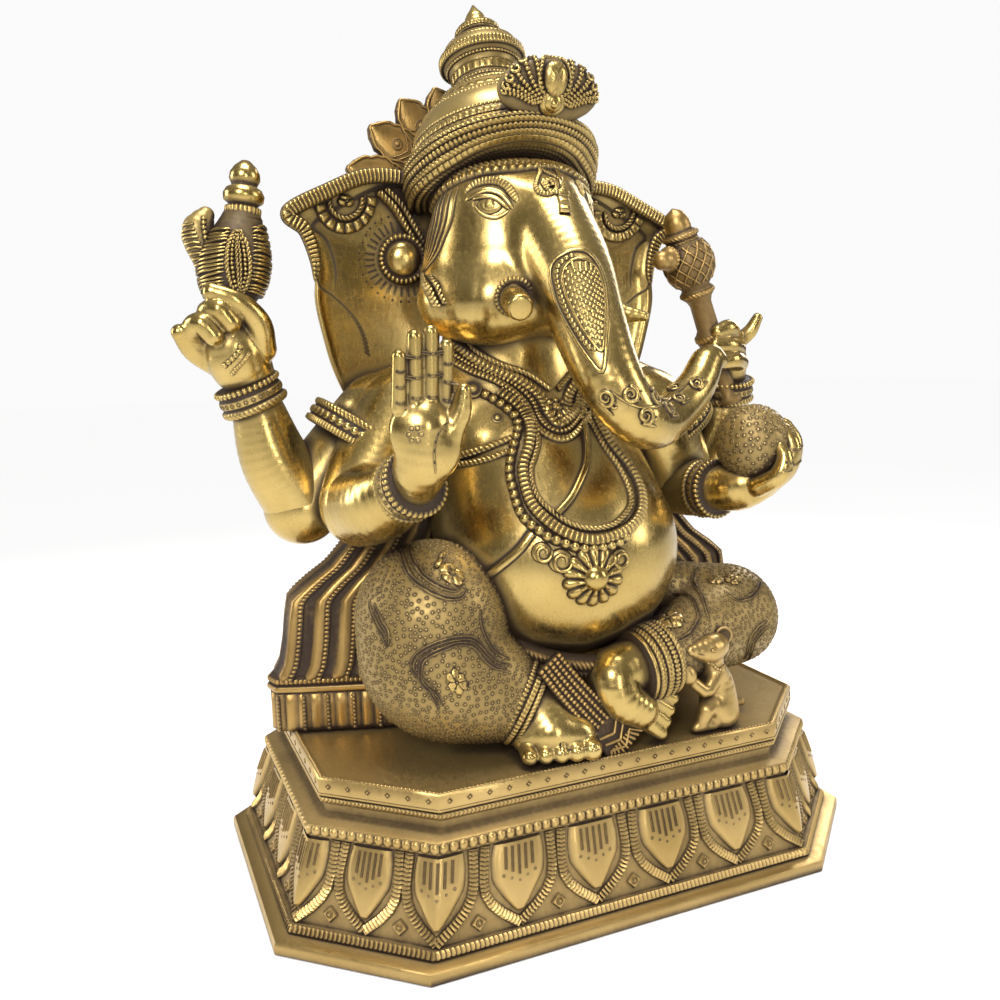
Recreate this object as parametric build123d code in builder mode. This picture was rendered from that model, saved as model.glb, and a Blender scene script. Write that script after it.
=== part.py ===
from build123d import *
import math
import os

# Seated four-armed elephant-headed figure in cast brass on a stepped octagonal pedestal.
# Millimetres, +Z up.  The origin is the centre of the pedestal's foot, the figure looks
# along -Y and its right side is at -X.

# ---- driving dimensions -------------------------------------------------------------
overall_height = 457
flange_half_width = 166
flange_half_depth = 119
flange_corner_x = 58
flange_corner_y = 52
deck_half_width = 139.5
deck_half_depth = 96.5
deck_corner_x = 45.5
deck_corner_y = 41.5
rope_band_half_width = 157
petals_foot_half_width = 155
petals_head_half_width = 144
bead_band_half_width = 146
cove_half_width = 136
flange_top = 6.5
petals_bottom = 11.5
petals_top = 49.5
bead_band_top = 56.5
cove_top = 67
deck_top = 76.4
wall = 5

belly_radius = 64
seat_radius = 43
chest_radius = 44
head_middle = -14
head_radius = 47
crown_base = (-14, -2, 350)
crown_tilt = 16
ear_thickness = 6
robe_half_width = 149
robe_side_thickness = 30
hem_top = 106

bolt_radius = 4
bolt_head_radius = 6.5
bolt_head_height = 5.3
bolt_length = 22
bolt_clearance = 0.3
bolt_spots = [(-60, 14), (60, 14), (0, 24)]

os.makedirs("parts", exist_ok=True)


def save(sub_part, name):
    """Label a finished sub-part and write it under its node name."""
    sub_part.label = name
    export_step(sub_part, f"parts/{name}.step")


def octagon(half_width):
    """Outline of the pedestal at a level that is half_width wide, between deck and flange."""
    share = (half_width - deck_half_width) / (flange_half_width - deck_half_width)
    half_depth = deck_half_depth + share * (flange_half_depth - deck_half_depth)
    cut_x = deck_corner_x + share * (flange_corner_x - deck_corner_x)
    cut_y = deck_corner_y + share * (flange_corner_y - deck_corner_y)
    right = [
        (half_width - cut_x, -half_depth),
        (half_width, -half_depth + cut_y),
        (half_width, half_depth - cut_y),
        (half_width - cut_x, half_depth),
    ]
    left = [(-x, y) for x, y in reversed(right)]
    return right + left


def rod(start, end, start_radius, end_radius):
    """Tapered rod with a round ball at each end."""
    length = (Vector(*end) - Vector(*start)).length
    axis_plane = Plane(origin=start, z_dir=Vector(*end) - Vector(*start))
    slope = math.degrees(math.asin((start_radius - end_radius) / length))
    side = Plane(origin=start, x_dir=axis_plane.x_dir, z_dir=-axis_plane.y_dir)
    with BuildPart() as solid:
        with BuildSketch(side):
            with BuildLine():
                lower = CenterArc((0, 0), start_radius, -90, 90 + slope)
                upper = CenterArc((0, length), end_radius, slope, 90 - slope)
                Line(lower @ 1, upper @ 0)
                Line(upper @ 1, lower @ 0)
            make_face()
        revolve(axis=Axis(start, axis_plane.z_dir))
    return solid.part


def limb(points, radii):
    """Rods joined ball to ball along a hand-laid path."""
    with BuildPart() as solid:
        for start, end, first, last in zip(points, points[1:], radii, radii[1:]):
            add(rod(start, end, first, last))
    return solid.part


def turned(base, direction, outline):
    """Solid turned about a tilted axis from (radius, height) points of its side."""
    axis_plane = Plane(origin=base, z_dir=direction)
    side = Plane(origin=base, x_dir=axis_plane.x_dir, z_dir=-axis_plane.y_dir)
    with BuildPart() as solid:
        with BuildSketch(side):
            with BuildLine():
                Polyline((0, outline[0][1]), *outline, (0, outline[-1][1]), close=True)
            make_face()
        revolve(axis=Axis(base, axis_plane.z_dir))
    return solid.part


def plate(outline, back, thickness):
    """Flat plate standing in the XZ plane, from an outline of (x, z) points."""
    with BuildPart() as solid:
        with BuildSketch(Plane.XZ.offset(-back)):
            with BuildLine():
                Polyline(*outline, close=True)
            make_face()
        extrude(amount=thickness)
    return solid.part


def mirrored(points):
    """The same outline on the other side of the figure's middle plane."""
    return [(-x, z) for x, z in reversed(points)]


# ---- pedestal -----------------------------------------------------------------------
# Foot of the hollow pedestal casting: a flat flange with the rope band on it.
with BuildPart() as pedestal_flange:
    with BuildSketch():
        Polygon(*octagon(flange_half_width), align=None)
    extrude(amount=flange_top)
    with BuildSketch(Plane.XY.offset(flange_top)):
        Polygon(*octagon(rope_band_half_width), align=None)
    extrude(amount=petals_bottom - flange_top)
    with BuildSketch():
        Polygon(*octagon(petals_foot_half_width - 2 * wall), align=None)
    extrude(amount=petals_bottom, mode=Mode.SUBTRACT)
save(pedestal_flange.part, "pedestal_flange")

# Wall of the pedestal: flared lotus-petal course, bead band and cove.
with BuildPart() as pedestal:
    with BuildSketch(Plane.XY.offset(petals_bottom)):
        Polygon(*octagon(petals_foot_half_width), align=None)
    with BuildSketch(Plane.XY.offset(petals_top)):
        Polygon(*octagon(petals_head_half_width), align=None)
    loft(ruled=True)
    with BuildSketch(Plane.XY.offset(petals_top)):
        Polygon(*octagon(bead_band_half_width), align=None)
    extrude(amount=bead_band_top - petals_top)
    with BuildSketch(Plane.XY.offset(bead_band_top)):
        Polygon(*octagon(cove_half_width), align=None)
    extrude(amount=cove_top - bead_band_top)
    with BuildSketch(Plane.XY.offset(petals_bottom)):
        Polygon(*octagon(petals_foot_half_width - 2 * wall), align=None)
    with BuildSketch(Plane.XY.offset(petals_top)):
        Polygon(*octagon(petals_head_half_width - 2 * wall), align=None)
    loft(ruled=True, mode=Mode.SUBTRACT)
    with BuildSketch(Plane.XY.offset(petals_top)):
        Polygon(*octagon(cove_half_width - 2 * wall), align=None)
    extrude(amount=cove_top - petals_top, mode=Mode.SUBTRACT)
save(pedestal.part, "pedestal")

# Deck slab that closes the pedestal, with a clearance hole for each hold-down bolt.
with BuildPart() as deck:
    with BuildSketch(Plane.XY.offset(cove_top)):
        Polygon(*octagon(deck_half_width), align=None)
    extrude(amount=deck_top - cove_top)
    with Locations(*[(x, y, deck_top) for x, y in bolt_spots]):
        Hole(bolt_radius + bolt_clearance)
save(deck.part, "deck")

# Hexagon bolts that hold the figure down, driven from under the deck.
with BuildPart() as hold_down_bolts:
    for x, y in bolt_spots:
        with BuildSketch(Plane.XY.offset(cove_top - bolt_head_height)):
            with Locations((x, y)):
                RegularPolygon(bolt_head_radius, 6, major_radius=False)
        extrude(amount=bolt_head_height)
        with BuildSketch(Plane.XY.offset(cove_top)):
            with Locations((x, y)):
                Circle(bolt_radius)
        extrude(amount=bolt_length)
save(hold_down_bolts.part, "hold_down_bolts")

# ---- trunk of the body --------------------------------------------------------------
with BuildPart() as belly:
    add(rod((0, -28, 172), (-2, -20, 184), belly_radius, belly_radius - 5))
save(belly.part, "belly")

# Seat and lap behind and under the belly, cut flat where it sits on the deck.
with BuildPart() as hips:
    add(rod((-26, 8, 113), (26, 8, 113), seat_radius, seat_radius))
    split(bisect_by=Plane.XY.offset(deck_top), keep=Keep.TOP)
    add(belly.part, mode=Mode.SUBTRACT)
    add(hold_down_bolts.part, mode=Mode.SUBTRACT)
save(hips.part, "hips")

with BuildPart() as chest:
    add(rod((-24, -3, 229), (16, -3, 229), chest_radius, chest_radius))
    add(rod((-6, 6, 240), (-10, 4, 276), 43, 36))
    add(belly.part, mode=Mode.SUBTRACT)
save(chest.part, "chest")

# ---- head ---------------------------------------------------------------------------
# The skull with full cheeks, cut by the neck it sits on.
with BuildPart() as head:
    add(rod((head_middle, -8, 312), (head_middle, -6, 326), head_radius, head_radius - 1))
    add(rod((-36, -22, 300), (-18, -40, 300), 24, 22))
    add(rod((10, -22, 302), (0, -40, 302), 24, 22))
    add(chest.part, mode=Mode.SUBTRACT)
save(head.part, "head")

trunk_path = [
    (-6, -46, 326), (-7, -66, 302), (-8, -82, 278), (-5, -95, 256),
    (6, -99, 240), (22, -92, 236), (40, -83, 243), (56, -76, 255), (69, -69, 268),
]
trunk_radii = [23, 20.5, 17.5, 14.5, 12.5, 11.5, 10.5, 9, 7]
with BuildPart() as trunk:
    add(limb(trunk_path, trunk_radii))
    add(head.part, mode=Mode.SUBTRACT)
    add(chest.part, mode=Mode.SUBTRACT)
    add(belly.part, mode=Mode.SUBTRACT)
save(trunk.part, "trunk")

# The right tusk is short and cut off square, the left one is whole and pointed.
with BuildPart() as right_tusk:
    add(turned((-34, -51, 299), (-6, -26, -8), [(9.5, 0), (9.5, 6), (6.8, 7), (6.5, 24), (5, 26)]))
    add(head.part, mode=Mode.SUBTRACT)
    add(trunk.part, mode=Mode.SUBTRACT)
save(right_tusk.part, "right_tusk")

with BuildPart() as left_tusk:
    add(rod((6, -52, 298), (27, -74, 287), 6.5, 2))
    add(head.part, mode=Mode.SUBTRACT)
    add(trunk.part, mode=Mode.SUBTRACT)
save(left_tusk.part, "left_tusk")

# ---- ears and earrings --------------------------------------------------------------
ear_outline = [
    (-42, 352), (-62, 362), (-84, 363), (-104, 354), (-127, 343), (-119, 336), (-113, 318),
    (-114, 300), (-110, 282), (-106, 264), (-97, 247), (-85, 238), (-70, 243), (-52, 262),
    (-42, 300),
]
with BuildPart() as right_ear:
    add(plate(ear_outline, 24, ear_thickness))
    add(head.part, mode=Mode.SUBTRACT)
    add(chest.part, mode=Mode.SUBTRACT)
save(right_ear.part, "right_ear")

# The left ear mirrors it about the head's own middle plane, a little right of centre.
head_shift = 2 * head_middle
left_ear_outline = [(x + head_shift, z) for x, z in mirrored(ear_outline)]
with BuildPart() as left_ear:
    add(plate(left_ear_outline, 24, ear_thickness))
    add(head.part, mode=Mode.SUBTRACT)
    add(chest.part, mode=Mode.SUBTRACT)
save(left_ear.part, "left_ear")

# A domed disc sits on the front of each ear, beside the cheek.
earring_outline = [(13, 0), (13, 3), (10, 5.5), (6, 7)]
with BuildPart() as right_earring:
    add(turned((-64, 19, 322), (-0.25, -1, 0), earring_outline))
    add(head.part, mode=Mode.SUBTRACT)
    add(right_ear.part, mode=Mode.SUBTRACT)
save(right_earring.part, "right_earring")

with BuildPart() as left_earring:
    add(turned((64 + head_shift, 19, 322), (0.25, -1, 0), earring_outline))
    add(head.part, mode=Mode.SUBTRACT)
    add(left_ear.part, mode=Mode.SUBTRACT)
save(left_earring.part, "left_earring")

# ---- crown --------------------------------------------------------------------------
crown_up = (-0.03, math.sin(math.radians(crown_tilt)), math.cos(math.radians(crown_tilt)))
crown_length = (overall_height - crown_base[2]) / crown_up[2]
with BuildPart() as crown_band:
    add(turned(crown_base, crown_up, [(51, 4), (53, 12), (52, 26), (46, 27)]))
    add(head.part, mode=Mode.SUBTRACT)
    for ear in (right_ear, left_ear):
        add(ear.part, mode=Mode.SUBTRACT)
save(crown_band.part, "crown_band")

with BuildPart() as crown_dome:
    add(turned(crown_base, crown_up, [(46, 27), (44, 38), (38, 47), (30, 54), (22, 59), (22, 61)]))
    add(head.part, mode=Mode.SUBTRACT)
save(crown_dome.part, "crown_dome")

with BuildPart() as crown_ring:
    add(turned(
        crown_base, crown_up,
        [(19, 61), (18, 74), (22, 77), (23, 81), (20, 86), (15, 88), (14, 92)],
    ))
save(crown_ring.part, "crown_ring")

with BuildPart() as crown_finial:
    add(turned(
        crown_base, crown_up,
        [(11, 92), (12, 95), (10, 98), (5, 103), (2, crown_length - 1), (1, crown_length)],
    ))
save(crown_finial.part, "crown_finial")

# Upright plaque on the front of the crown, leaning back with the dome.
crest_plane = Plane(origin=(-9, -46, 380), x_dir=(1, 0, 0), z_dir=(0, -0.94, 0.34))
with BuildPart() as crown_crest:
    with BuildSketch(crest_plane):
        with Locations((0, 16)):
            Ellipse(25, 20)
    extrude(amount=7, both=True)
    add(crown_band.part, mode=Mode.SUBTRACT)
    add(crown_dome.part, mode=Mode.SUBTRACT)
save(crown_crest.part, "crown_crest")

# Leaf-shaped feathers fanned out behind the crown: angle from upright and length.
feathers = [(80, 75), (60, 70), (41, 66), (22, 62), (-22, 62), (-41, 66), (-60, 70), (-80, 75)]
feather_thickness = 7
with BuildPart() as feather_fan:
    for angle, length in feathers:
        root = Plane(origin=(head_middle, 44, 358), x_dir=(1, 0, 0), z_dir=(0, -1, 0))
        with BuildSketch(root.rotated((0, angle, 0))):
            with BuildLine():
                Polyline(
                    (-7, 14), (-11, 38), (-11.5, length - 16), (-7, length - 5), (0, length),
                    (7, length - 5), (11.5, length - 16), (11, 38), (7, 14), close=True,
                )
            make_face()
        extrude(amount=feather_thickness)
    for neighbour in (crown_band, crown_dome, crown_ring, head, right_ear, left_ear):
        add(neighbour.part, mode=Mode.SUBTRACT)
save(feather_fan.part, "feather_fan")

# ---- legs ---------------------------------------------------------------------------
torso = [belly, hips, chest]
with BuildPart() as right_thigh:
    add(rod((-42, 4, 114), (-76, -44, 146), 35, 36.5))
    for neighbour in torso + [hold_down_bolts]:
        add(neighbour.part, mode=Mode.SUBTRACT)
save(right_thigh.part, "right_thigh")

with BuildPart() as right_shin:
    add(rod((-76, -46, 122), (-44, -62, 102), 37, 19))
    for neighbour in torso + [right_thigh]:
        add(neighbour.part, mode=Mode.SUBTRACT)
    split(bisect_by=Plane.XY.offset(deck_top), keep=Keep.TOP)
save(right_shin.part, "right_shin")

right_ankle = Vector(-37, -66, 99)
right_shin_way = Vector(0.78, -0.42, -0.45)
with BuildPart() as right_anklet:
    add(turned(right_ankle, right_shin_way, [(21, -10), (22, -4), (21, 2), (19, 3)]))
    for neighbour in torso + [right_thigh, right_shin]:
        add(neighbour.part, mode=Mode.SUBTRACT)
    split(bisect_by=Plane.XY.offset(deck_top), keep=Keep.TOP)
save(right_anklet.part, "right_anklet")

with BuildPart() as right_foot:
    add(rod((-32, -64, 96), (-25, -83, 86), 16, 12))
    for toe in range(5):
        heel_side = (-37 + 6.3 * toe, -78 - 1.6 * toe, 85)
        add(rod(heel_side, (-41 + 7 * toe, -90 - 1.2 * toe, 81.5), 5, 4.2 + 0.3 * toe))
    for neighbour in torso + [right_shin, right_anklet]:
        add(neighbour.part, mode=Mode.SUBTRACT)
    split(bisect_by=Plane.XY.offset(deck_top), keep=Keep.TOP)
save(right_foot.part, "right_foot")

with BuildPart() as left_thigh:
    add(rod((42, 4, 116), (104, -36, 121), 36, 27))
    for neighbour in torso + [hold_down_bolts]:
        add(neighbour.part, mode=Mode.SUBTRACT)
save(left_thigh.part, "left_thigh")

with BuildPart() as left_shin:
    add(rod((100, -44, 118), (34, -74, 114), 26, 17))
    for neighbour in torso + [left_thigh]:
        add(neighbour.part, mode=Mode.SUBTRACT)
save(left_shin.part, "left_shin")

with BuildPart() as left_anklet:
    add(turned((30, -76, 114), (-0.9, -0.1, -0.12), [(18, -6), (19.5, 0), (19.5, 8), (17, 12)]))
    for neighbour in torso + [left_shin, left_thigh]:
        add(neighbour.part, mode=Mode.SUBTRACT)
save(left_anklet.part, "left_anklet")

with BuildPart() as left_foot:
    add(rod((12, -78, 114), (5, -82, 106), 13, 12))
    add(rod((5, -82, 106), (20, -86, 88), 12, 8.5))
    for toe in range(4):
        add(rod((14 + 3 * toe, -86, 90 + 3 * toe), (24 + 2.5 * toe, -86, 81.5 + 4 * toe), 4.5, 3.6))
    for neighbour in torso + [left_shin, left_anklet, right_foot]:
        add(neighbour.part, mode=Mode.SUBTRACT)
    split(bisect_by=Plane.XY.offset(deck_top), keep=Keep.TOP)
save(left_foot.part, "left_foot")
legs = [right_thigh, right_shin, right_anklet, right_foot, left_thigh, left_shin, left_anklet, left_foot]

# ---- cloth: belt, sash and the robe spread out behind -------------------------------
belt_path = [(-46, -46, 134), (-28, -64, 122), (-2, -74, 117), (22, -66, 120), (46, -46, 132)]
with BuildPart() as belt:
    add(limb(belt_path, [6] * len(belt_path)))
    for neighbour in torso + legs:
        add(neighbour.part, mode=Mode.SUBTRACT)
save(belt.part, "belt")

# Pleated end of the waist cloth, hanging aslant between the feet down to the deck.
sash_outline = [
    (-36, 122), (-20, 122), (-6, 103), (17, 82), (17, deck_top), (-10, deck_top), (-22, 94),
]
with BuildPart() as sash:
    add(plate(sash_outline, -76, 14))
    for neighbour in torso + legs + [belt]:
        add(neighbour.part, mode=Mode.SUBTRACT)
save(sash.part, "sash")

robe_side = [(-robe_half_width, hem_top), (-145, 112), (-139, 146), (-116, 162), (-99, 180), (-78, 214)]
robe_outline = robe_side + mirrored(robe_side)
robe_plan = [
    (-robe_half_width, 6), (-92, -12), (92, -12), (robe_half_width, 6),
    (robe_half_width - 6, robe_side_thickness), (84, 46),
    (-84, 46), (-robe_half_width + 6, robe_side_thickness),
]
behind = torso + legs + [hold_down_bolts]
with BuildPart() as back_robe:
    add(plate(robe_outline, 60, 90))
    with BuildSketch(Plane.XY.offset(100)):
        Polygon(*robe_plan, align=None)
    extrude(amount=140, mode=Mode.INTERSECT)
    for neighbour in behind:
        add(neighbour.part, mode=Mode.SUBTRACT)
save(back_robe.part, "back_robe")

# The robe's pleated hem, the band that stands on the deck.
with BuildPart() as robe_hem:
    with BuildSketch(Plane.XY.offset(deck_top)):
        Polygon(*robe_plan, align=None)
    extrude(amount=hem_top - deck_top)
    for neighbour in behind:
        add(neighbour.part, mode=Mode.SUBTRACT)
save(robe_hem.part, "robe_hem")

# ---- arms ---------------------------------------------------------------------------
body = torso + [head, right_ear, left_ear, trunk, back_robe]


def trimmed(shape, neighbours):
    """A shape with its neighbours cut out, less any crumb of it that they leave loose."""
    with BuildPart() as solid:
        add(shape)
        for neighbour in neighbours:
            add(neighbour, mode=Mode.SUBTRACT)
    largest = solid.solids().sort_by(SortBy.VOLUME)[-1]
    with BuildPart() as kept:
        for body_piece in solid.solids():
            if body_piece.volume > largest.volume / 4:
                add(body_piece)
    return kept.part


def hand(wrist, palm_end, palm_radius, finger_tips, finger_radius):
    """Round palm with a finger from it to each tip."""
    with BuildPart() as solid:
        add(rod(wrist, palm_end, palm_radius * 0.75, palm_radius))
        for root, tip in finger_tips:
            add(rod(root, tip, finger_radius, finger_radius * 0.8))
    return solid.part


arm_shapes = {
    "rear_right": (
        rod((-82, 12, 238), (-128, 6, 196), 25, 20),
        rod((-128, 6, 196), (-149, 1, 250), 19.4, 12),
        hand((-152, 0, 258), (-162, -2, 280), 14, [
            ((-166, -6, 284), (-172, -14, 296)), ((-160, -10, 282), (-156, -18, 298)),
            ((-152, -8, 280), (-146, -12, 296)), ((-168, 2, 284), (-160, 2, 304)),
        ], 5),
        ((-151, 0.5, 254), (-0.36, -0.08, 0.93)),
    ),
    "rear_left": (
        rod((72, 12, 238), (116, 6, 200), 25, 19),
        rod((116, 6, 200), (127, -4, 244), 18.4, 12),
        hand((126, -6, 254), (120, -12, 272), 12, [
            ((122, -18, 276), (108, -22, 282)), ((118, -16, 268), (104, -20, 272)),
            ((120, -8, 282), (108, -12, 290)), ((126, -16, 268), (112, -24, 264)),
        ], 5),
        ((127, -5, 248), (-0.1, -0.2, 0.95)),
    ),
    "front_right": (
        rod((-76, -10, 238), (-104, -26, 200), 27, 22),
        rod((-104, -26, 200), (-94, -66, 212), 21.4, 13.5),
        hand((-92, -74, 217), (-90, -82, 238), 15, [
            ((-101, -84, 250), (-105, -88, 275)), ((-95, -85, 252), (-97, -90, 283)),
            ((-88, -85, 252), (-88, -91, 285)), ((-81, -84, 250), (-80, -88, 279)),
            ((-78, -86, 232), (-70, -92, 254)),
        ], 4.6),
        ((-93, -68, 213), (0.2, -0.9, 0.36)),
    ),
    "front_left": (
        rod((66, -8, 238), (88, -6, 196), 25, 21),
        rod((89, -8, 196), (89, -38, 194), 19.5, 14),
        hand((92, -48, 195), (104, -58, 202), 13, [
            ((112, -64, 204), (124, -62, 226)), ((116, -58, 204), (128, -54, 222)),
            ((106, -70, 202), (118, -76, 220)), ((98, -72, 202), (90, -82, 210)),
        ], 5),
        ((90, -42, 194.5), (0.1, -0.97, 0.1)),
    ),
}

arms = {}
for arm_name, (upper, fore, palm, (cuff_centre, cuff_way)) in arm_shapes.items():
    blockers = [neighbour.part for neighbour in body] + list(arms.values())
    cuff = turned(cuff_centre, cuff_way, [(14, -7), (17, -5), (17.5, 0), (17, 5), (14, 7)])
    pieces = [
        (f"{arm_name}_upper_arm", upper),
        (f"{arm_name}_forearm", fore),
        (f"{arm_name}_hand", palm),
        (f"{arm_name}_bracelet", cuff),
    ]
    for piece_name, shape in pieces:
        arms[piece_name] = trimmed(shape, blockers)
        blockers.append(arms[piece_name])
        save(arms[piece_name], piece_name)

figure = [neighbour.part for neighbour in body + legs + [belt, sash]] + list(arms.values())


def worn(shape, others=()):
    """An ornament with the figure under it cut away."""
    return trimmed(shape, figure + list(others))


# ---- jewellery ----------------------------------------------------------------------
# Broad collar low on the neck, with its point at the middle of the breast.
choker = worn(limb(
    [(-52, -18, 272), (-42, -40, 256), (-28, -52, 246), (-12, -57, 236),
     (4, -54, 244), (20, -47, 254), (34, -30, 268)],
    [6, 7, 7, 8, 7, 7, 6],
))
save(choker, "choker")

# Long chain that lies over the breast and the top of the belly.
necklace_path = [
    (-52, -36, 246), (-53, -50, 228), (-50, -66, 208), (-34, -82, 190), (-6, -90, 181),
    (22, -85, 188), (39, -71, 206), (45, -54, 228), (43, -38, 246),
]
long_necklace = worn(limb(necklace_path, [5.2] * len(necklace_path)), [choker])
save(long_necklace, "long_necklace")

flower_pendant = worn(
    turned((-8, -86, 163), (-0.08, -1, -0.1), [(19, -16), (19, 5), (8, 6), (6, 10)]),
    [long_necklace],
)
save(flower_pendant, "flower_pendant")

# Sacred thread from the left shoulder under the necklace to the right hip.
thread_path = [(8, -70, 226), (-6, -86, 204), (-24, -86, 184), (-44, -75, 164), (-58, -56, 148)]
sacred_thread = worn(
    limb(thread_path, [3.2] * len(thread_path)),
    [choker, long_necklace, flower_pendant],
)
save(sacred_thread, "sacred_thread")

# A band around the top of each pair of arms.
right_armlet = worn(turned(
    (-96, -2, 230), (-0.55, 0.05, -0.83), [(27, -7), (31, -4), (31, 4), (27, 7)],
), [long_necklace, sacred_thread])
save(right_armlet, "right_armlet")

left_armlet = worn(turned(
    (84, -2, 230), (0.55, 0.05, -0.83), [(26, -7), (30, -4), (30, 4), (26, 7)],
), [long_necklace])
save(left_armlet, "left_armlet")

# ---- things held in the hands -------------------------------------------------------
# Conch upright in the rear right hand: fluted bulb, a side lobe and a small finial.
with BuildPart() as conch_shape:
    add(limb([(-158, -8, 296), (-155, -4, 314), (-150, -2, 334)], [8, 17, 12]))
    add(limb([(-166, -4, 306), (-170, -2, 326), (-164, -2, 338)], [8, 9, 5]))
    add(turned((-150, -2, 340), (0.12, 0, 1), [(7, 0), (9, 6), (5, 12), (7, 16), (2, 24)]))
conch = trimmed(conch_shape.part, figure)
save(conch, "conch")

# Mace-headed axe in the rear left hand: shaft, ball head, side knob, blade and cone top.
axe_foot = Vector(124, -14, 240)
axe_top = Vector(81, -16, 349)
axe_up = (axe_top - axe_foot).normalized()
axe_length = (axe_top - axe_foot).length
with BuildPart() as axe_shape:
    add(turned(axe_foot, axe_up, [
        (6, 0), (7, 4), (5, 40), (6, 66), (9, 68), (9, 72), (14, 80), (14, 92), (9, 99), (8, 106),
        (5, axe_length - 3), (2, axe_length),
    ]))
    add(rod((82, -18, 322), (70, -22, 320), 6, 5))
    add(plate([(90, 318), (101, 309), (106, 318), (104, 330), (98, 334), (88, 328)], -14, 4))
axe = trimmed(axe_shape.part, figure + [conch])
save(axe, "axe")

# Ball-shaped sweet in the front left hand.
with BuildPart() as sweet:
    add(rod((103, -62, 219), (103, -62, 223), 20, 19))
    for neighbour in figure:
        add(neighbour, mode=Mode.SUBTRACT)
save(sweet.part, "sweet")

# ---- mouse --------------------------------------------------------------------------
# Small mouse sitting up on the deck in front of the left knee, holding a sweet.
with BuildPart() as mouse:
    add(limb([(66, -84, 84), (67, -82, 98), (62, -84, 108)], [11, 9, 6]))
    add(rod((64, -84, 117), (46, -88, 120), 8.5, 3.5))
    add(rod((64, -84, 88), (52, -88, 79), 6, 4.5))
    add(limb([(64, -84, 104), (52, -88, 98), (48, -88, 104)], [5, 4, 5]))
    add(rod((68, -78, 122), (70, -77, 125), 4.5, 4))
    add(limb([(70, -76, 80), (82, -68, 80), (92, -72, 80)], [6, 4, 3]))
    split(bisect_by=Plane.XY.offset(deck_top), keep=Keep.TOP)
    for neighbour in (left_shin, left_thigh):
        add(neighbour.part, mode=Mode.SUBTRACT)
save(mouse.part, "mouse")
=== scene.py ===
import math
import bmesh
import bpy
import numpy as np
from mathutils import Matrix, Vector
from mathutils.bvhtree import BVHTree


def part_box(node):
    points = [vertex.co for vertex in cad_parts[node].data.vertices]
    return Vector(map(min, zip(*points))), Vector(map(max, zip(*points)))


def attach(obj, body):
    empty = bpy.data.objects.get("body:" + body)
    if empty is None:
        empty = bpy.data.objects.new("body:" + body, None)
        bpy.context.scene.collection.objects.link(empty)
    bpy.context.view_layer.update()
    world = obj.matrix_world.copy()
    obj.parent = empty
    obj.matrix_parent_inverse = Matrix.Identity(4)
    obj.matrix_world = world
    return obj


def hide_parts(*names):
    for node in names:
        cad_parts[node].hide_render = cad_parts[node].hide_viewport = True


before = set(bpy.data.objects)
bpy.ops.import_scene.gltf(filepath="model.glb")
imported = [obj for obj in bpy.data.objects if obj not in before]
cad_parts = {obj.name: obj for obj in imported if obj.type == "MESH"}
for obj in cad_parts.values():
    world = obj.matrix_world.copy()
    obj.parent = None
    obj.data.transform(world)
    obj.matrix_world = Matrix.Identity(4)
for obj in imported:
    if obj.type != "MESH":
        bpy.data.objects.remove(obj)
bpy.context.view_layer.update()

# ---- Camera, light and floor --------------------------------------------------------
# The camera stands low at the figure's right front.  A large soft lamp hangs at each side
# and overhead, the room above is dim so that the metal has something dark to mirror, and
# the floor is plain and pale.
MM = 0.001


class Field:
    """A value or colour in a shader; arithmetic on it adds the nodes."""

    def __init__(self, tree, socket):
        self.tree = tree
        self.socket = socket

    def math(self, operation, *others, clamp=False):
        node = self.tree.nodes.new("ShaderNodeMath")
        node.operation = operation
        node.use_clamp = clamp
        for slot, value in zip(node.inputs, others):
            plug(self.tree, slot, value)
        return Field(self.tree, node.outputs[0])

    def __add__(self, other):
        return self.math("ADD", self, other)

    def __sub__(self, other):
        return self.math("SUBTRACT", self, other)

    def __rsub__(self, other):
        return self.math("SUBTRACT", other, self)

    def __mul__(self, other):
        return self.math("MULTIPLY", self, other)

    __radd__ = __add__
    __rmul__ = __mul__

    def clamped(self):
        return self.math("ADD", self, 0.0, clamp=True)


def plug(tree, slot, value):
    """Link a field to a socket, or set a constant on it."""
    if isinstance(value, Field):
        tree.links.new(value.socket, slot)
    else:
        slot.default_value = value


def add_node(tree, kind, settings=None, output=0, **inputs):
    """One shader node with its settings and sockets; returns one of its outputs."""
    node = tree.nodes.new(kind)
    for key, value in (settings or {}).items():
        setattr(node, key, value)
    for key, value in inputs.items():
        plug(tree, node.inputs[key.replace("_", " ")], value)
    return Field(tree, node.outputs[output])


def mixed(tree, share, first, second):
    """Colour that goes from first to second as share goes from 0 to 1."""
    node = tree.nodes.new("ShaderNodeMix")
    node.data_type = "RGBA"
    for index, value in ((0, share), (6, first), (7, second)):
        plug(tree, node.inputs[index], value)
    return Field(tree, node.outputs[2])


def place_camera():
    heading, dip, roll = math.radians(23.186), math.radians(-8.831), math.radians(-1.21)
    level = math.cos(dip)
    ahead = Vector((math.sin(heading) * level, math.cos(heading) * level, math.sin(dip)))
    side = ahead.cross(Vector((0, 0, 1))).normalized()
    above = side.cross(ahead)
    across = math.cos(roll) * side + math.sin(roll) * above
    upward = math.cos(roll) * above - math.sin(roll) * side
    data = bpy.data.cameras.new("camera")
    data.lens = 33.72
    data.sensor_width = 36.0
    data.clip_start = 0.01
    camera = bpy.data.objects.new("camera", data)
    turned = Matrix((across, upward, -ahead)).transposed().to_4x4()
    place = Vector((-221.65, -471.36, 270.95)) * MM
    camera.matrix_world = Matrix.Translation(place) @ turned
    bpy.context.collection.objects.link(camera)
    bpy.context.scene.camera = camera


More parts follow.
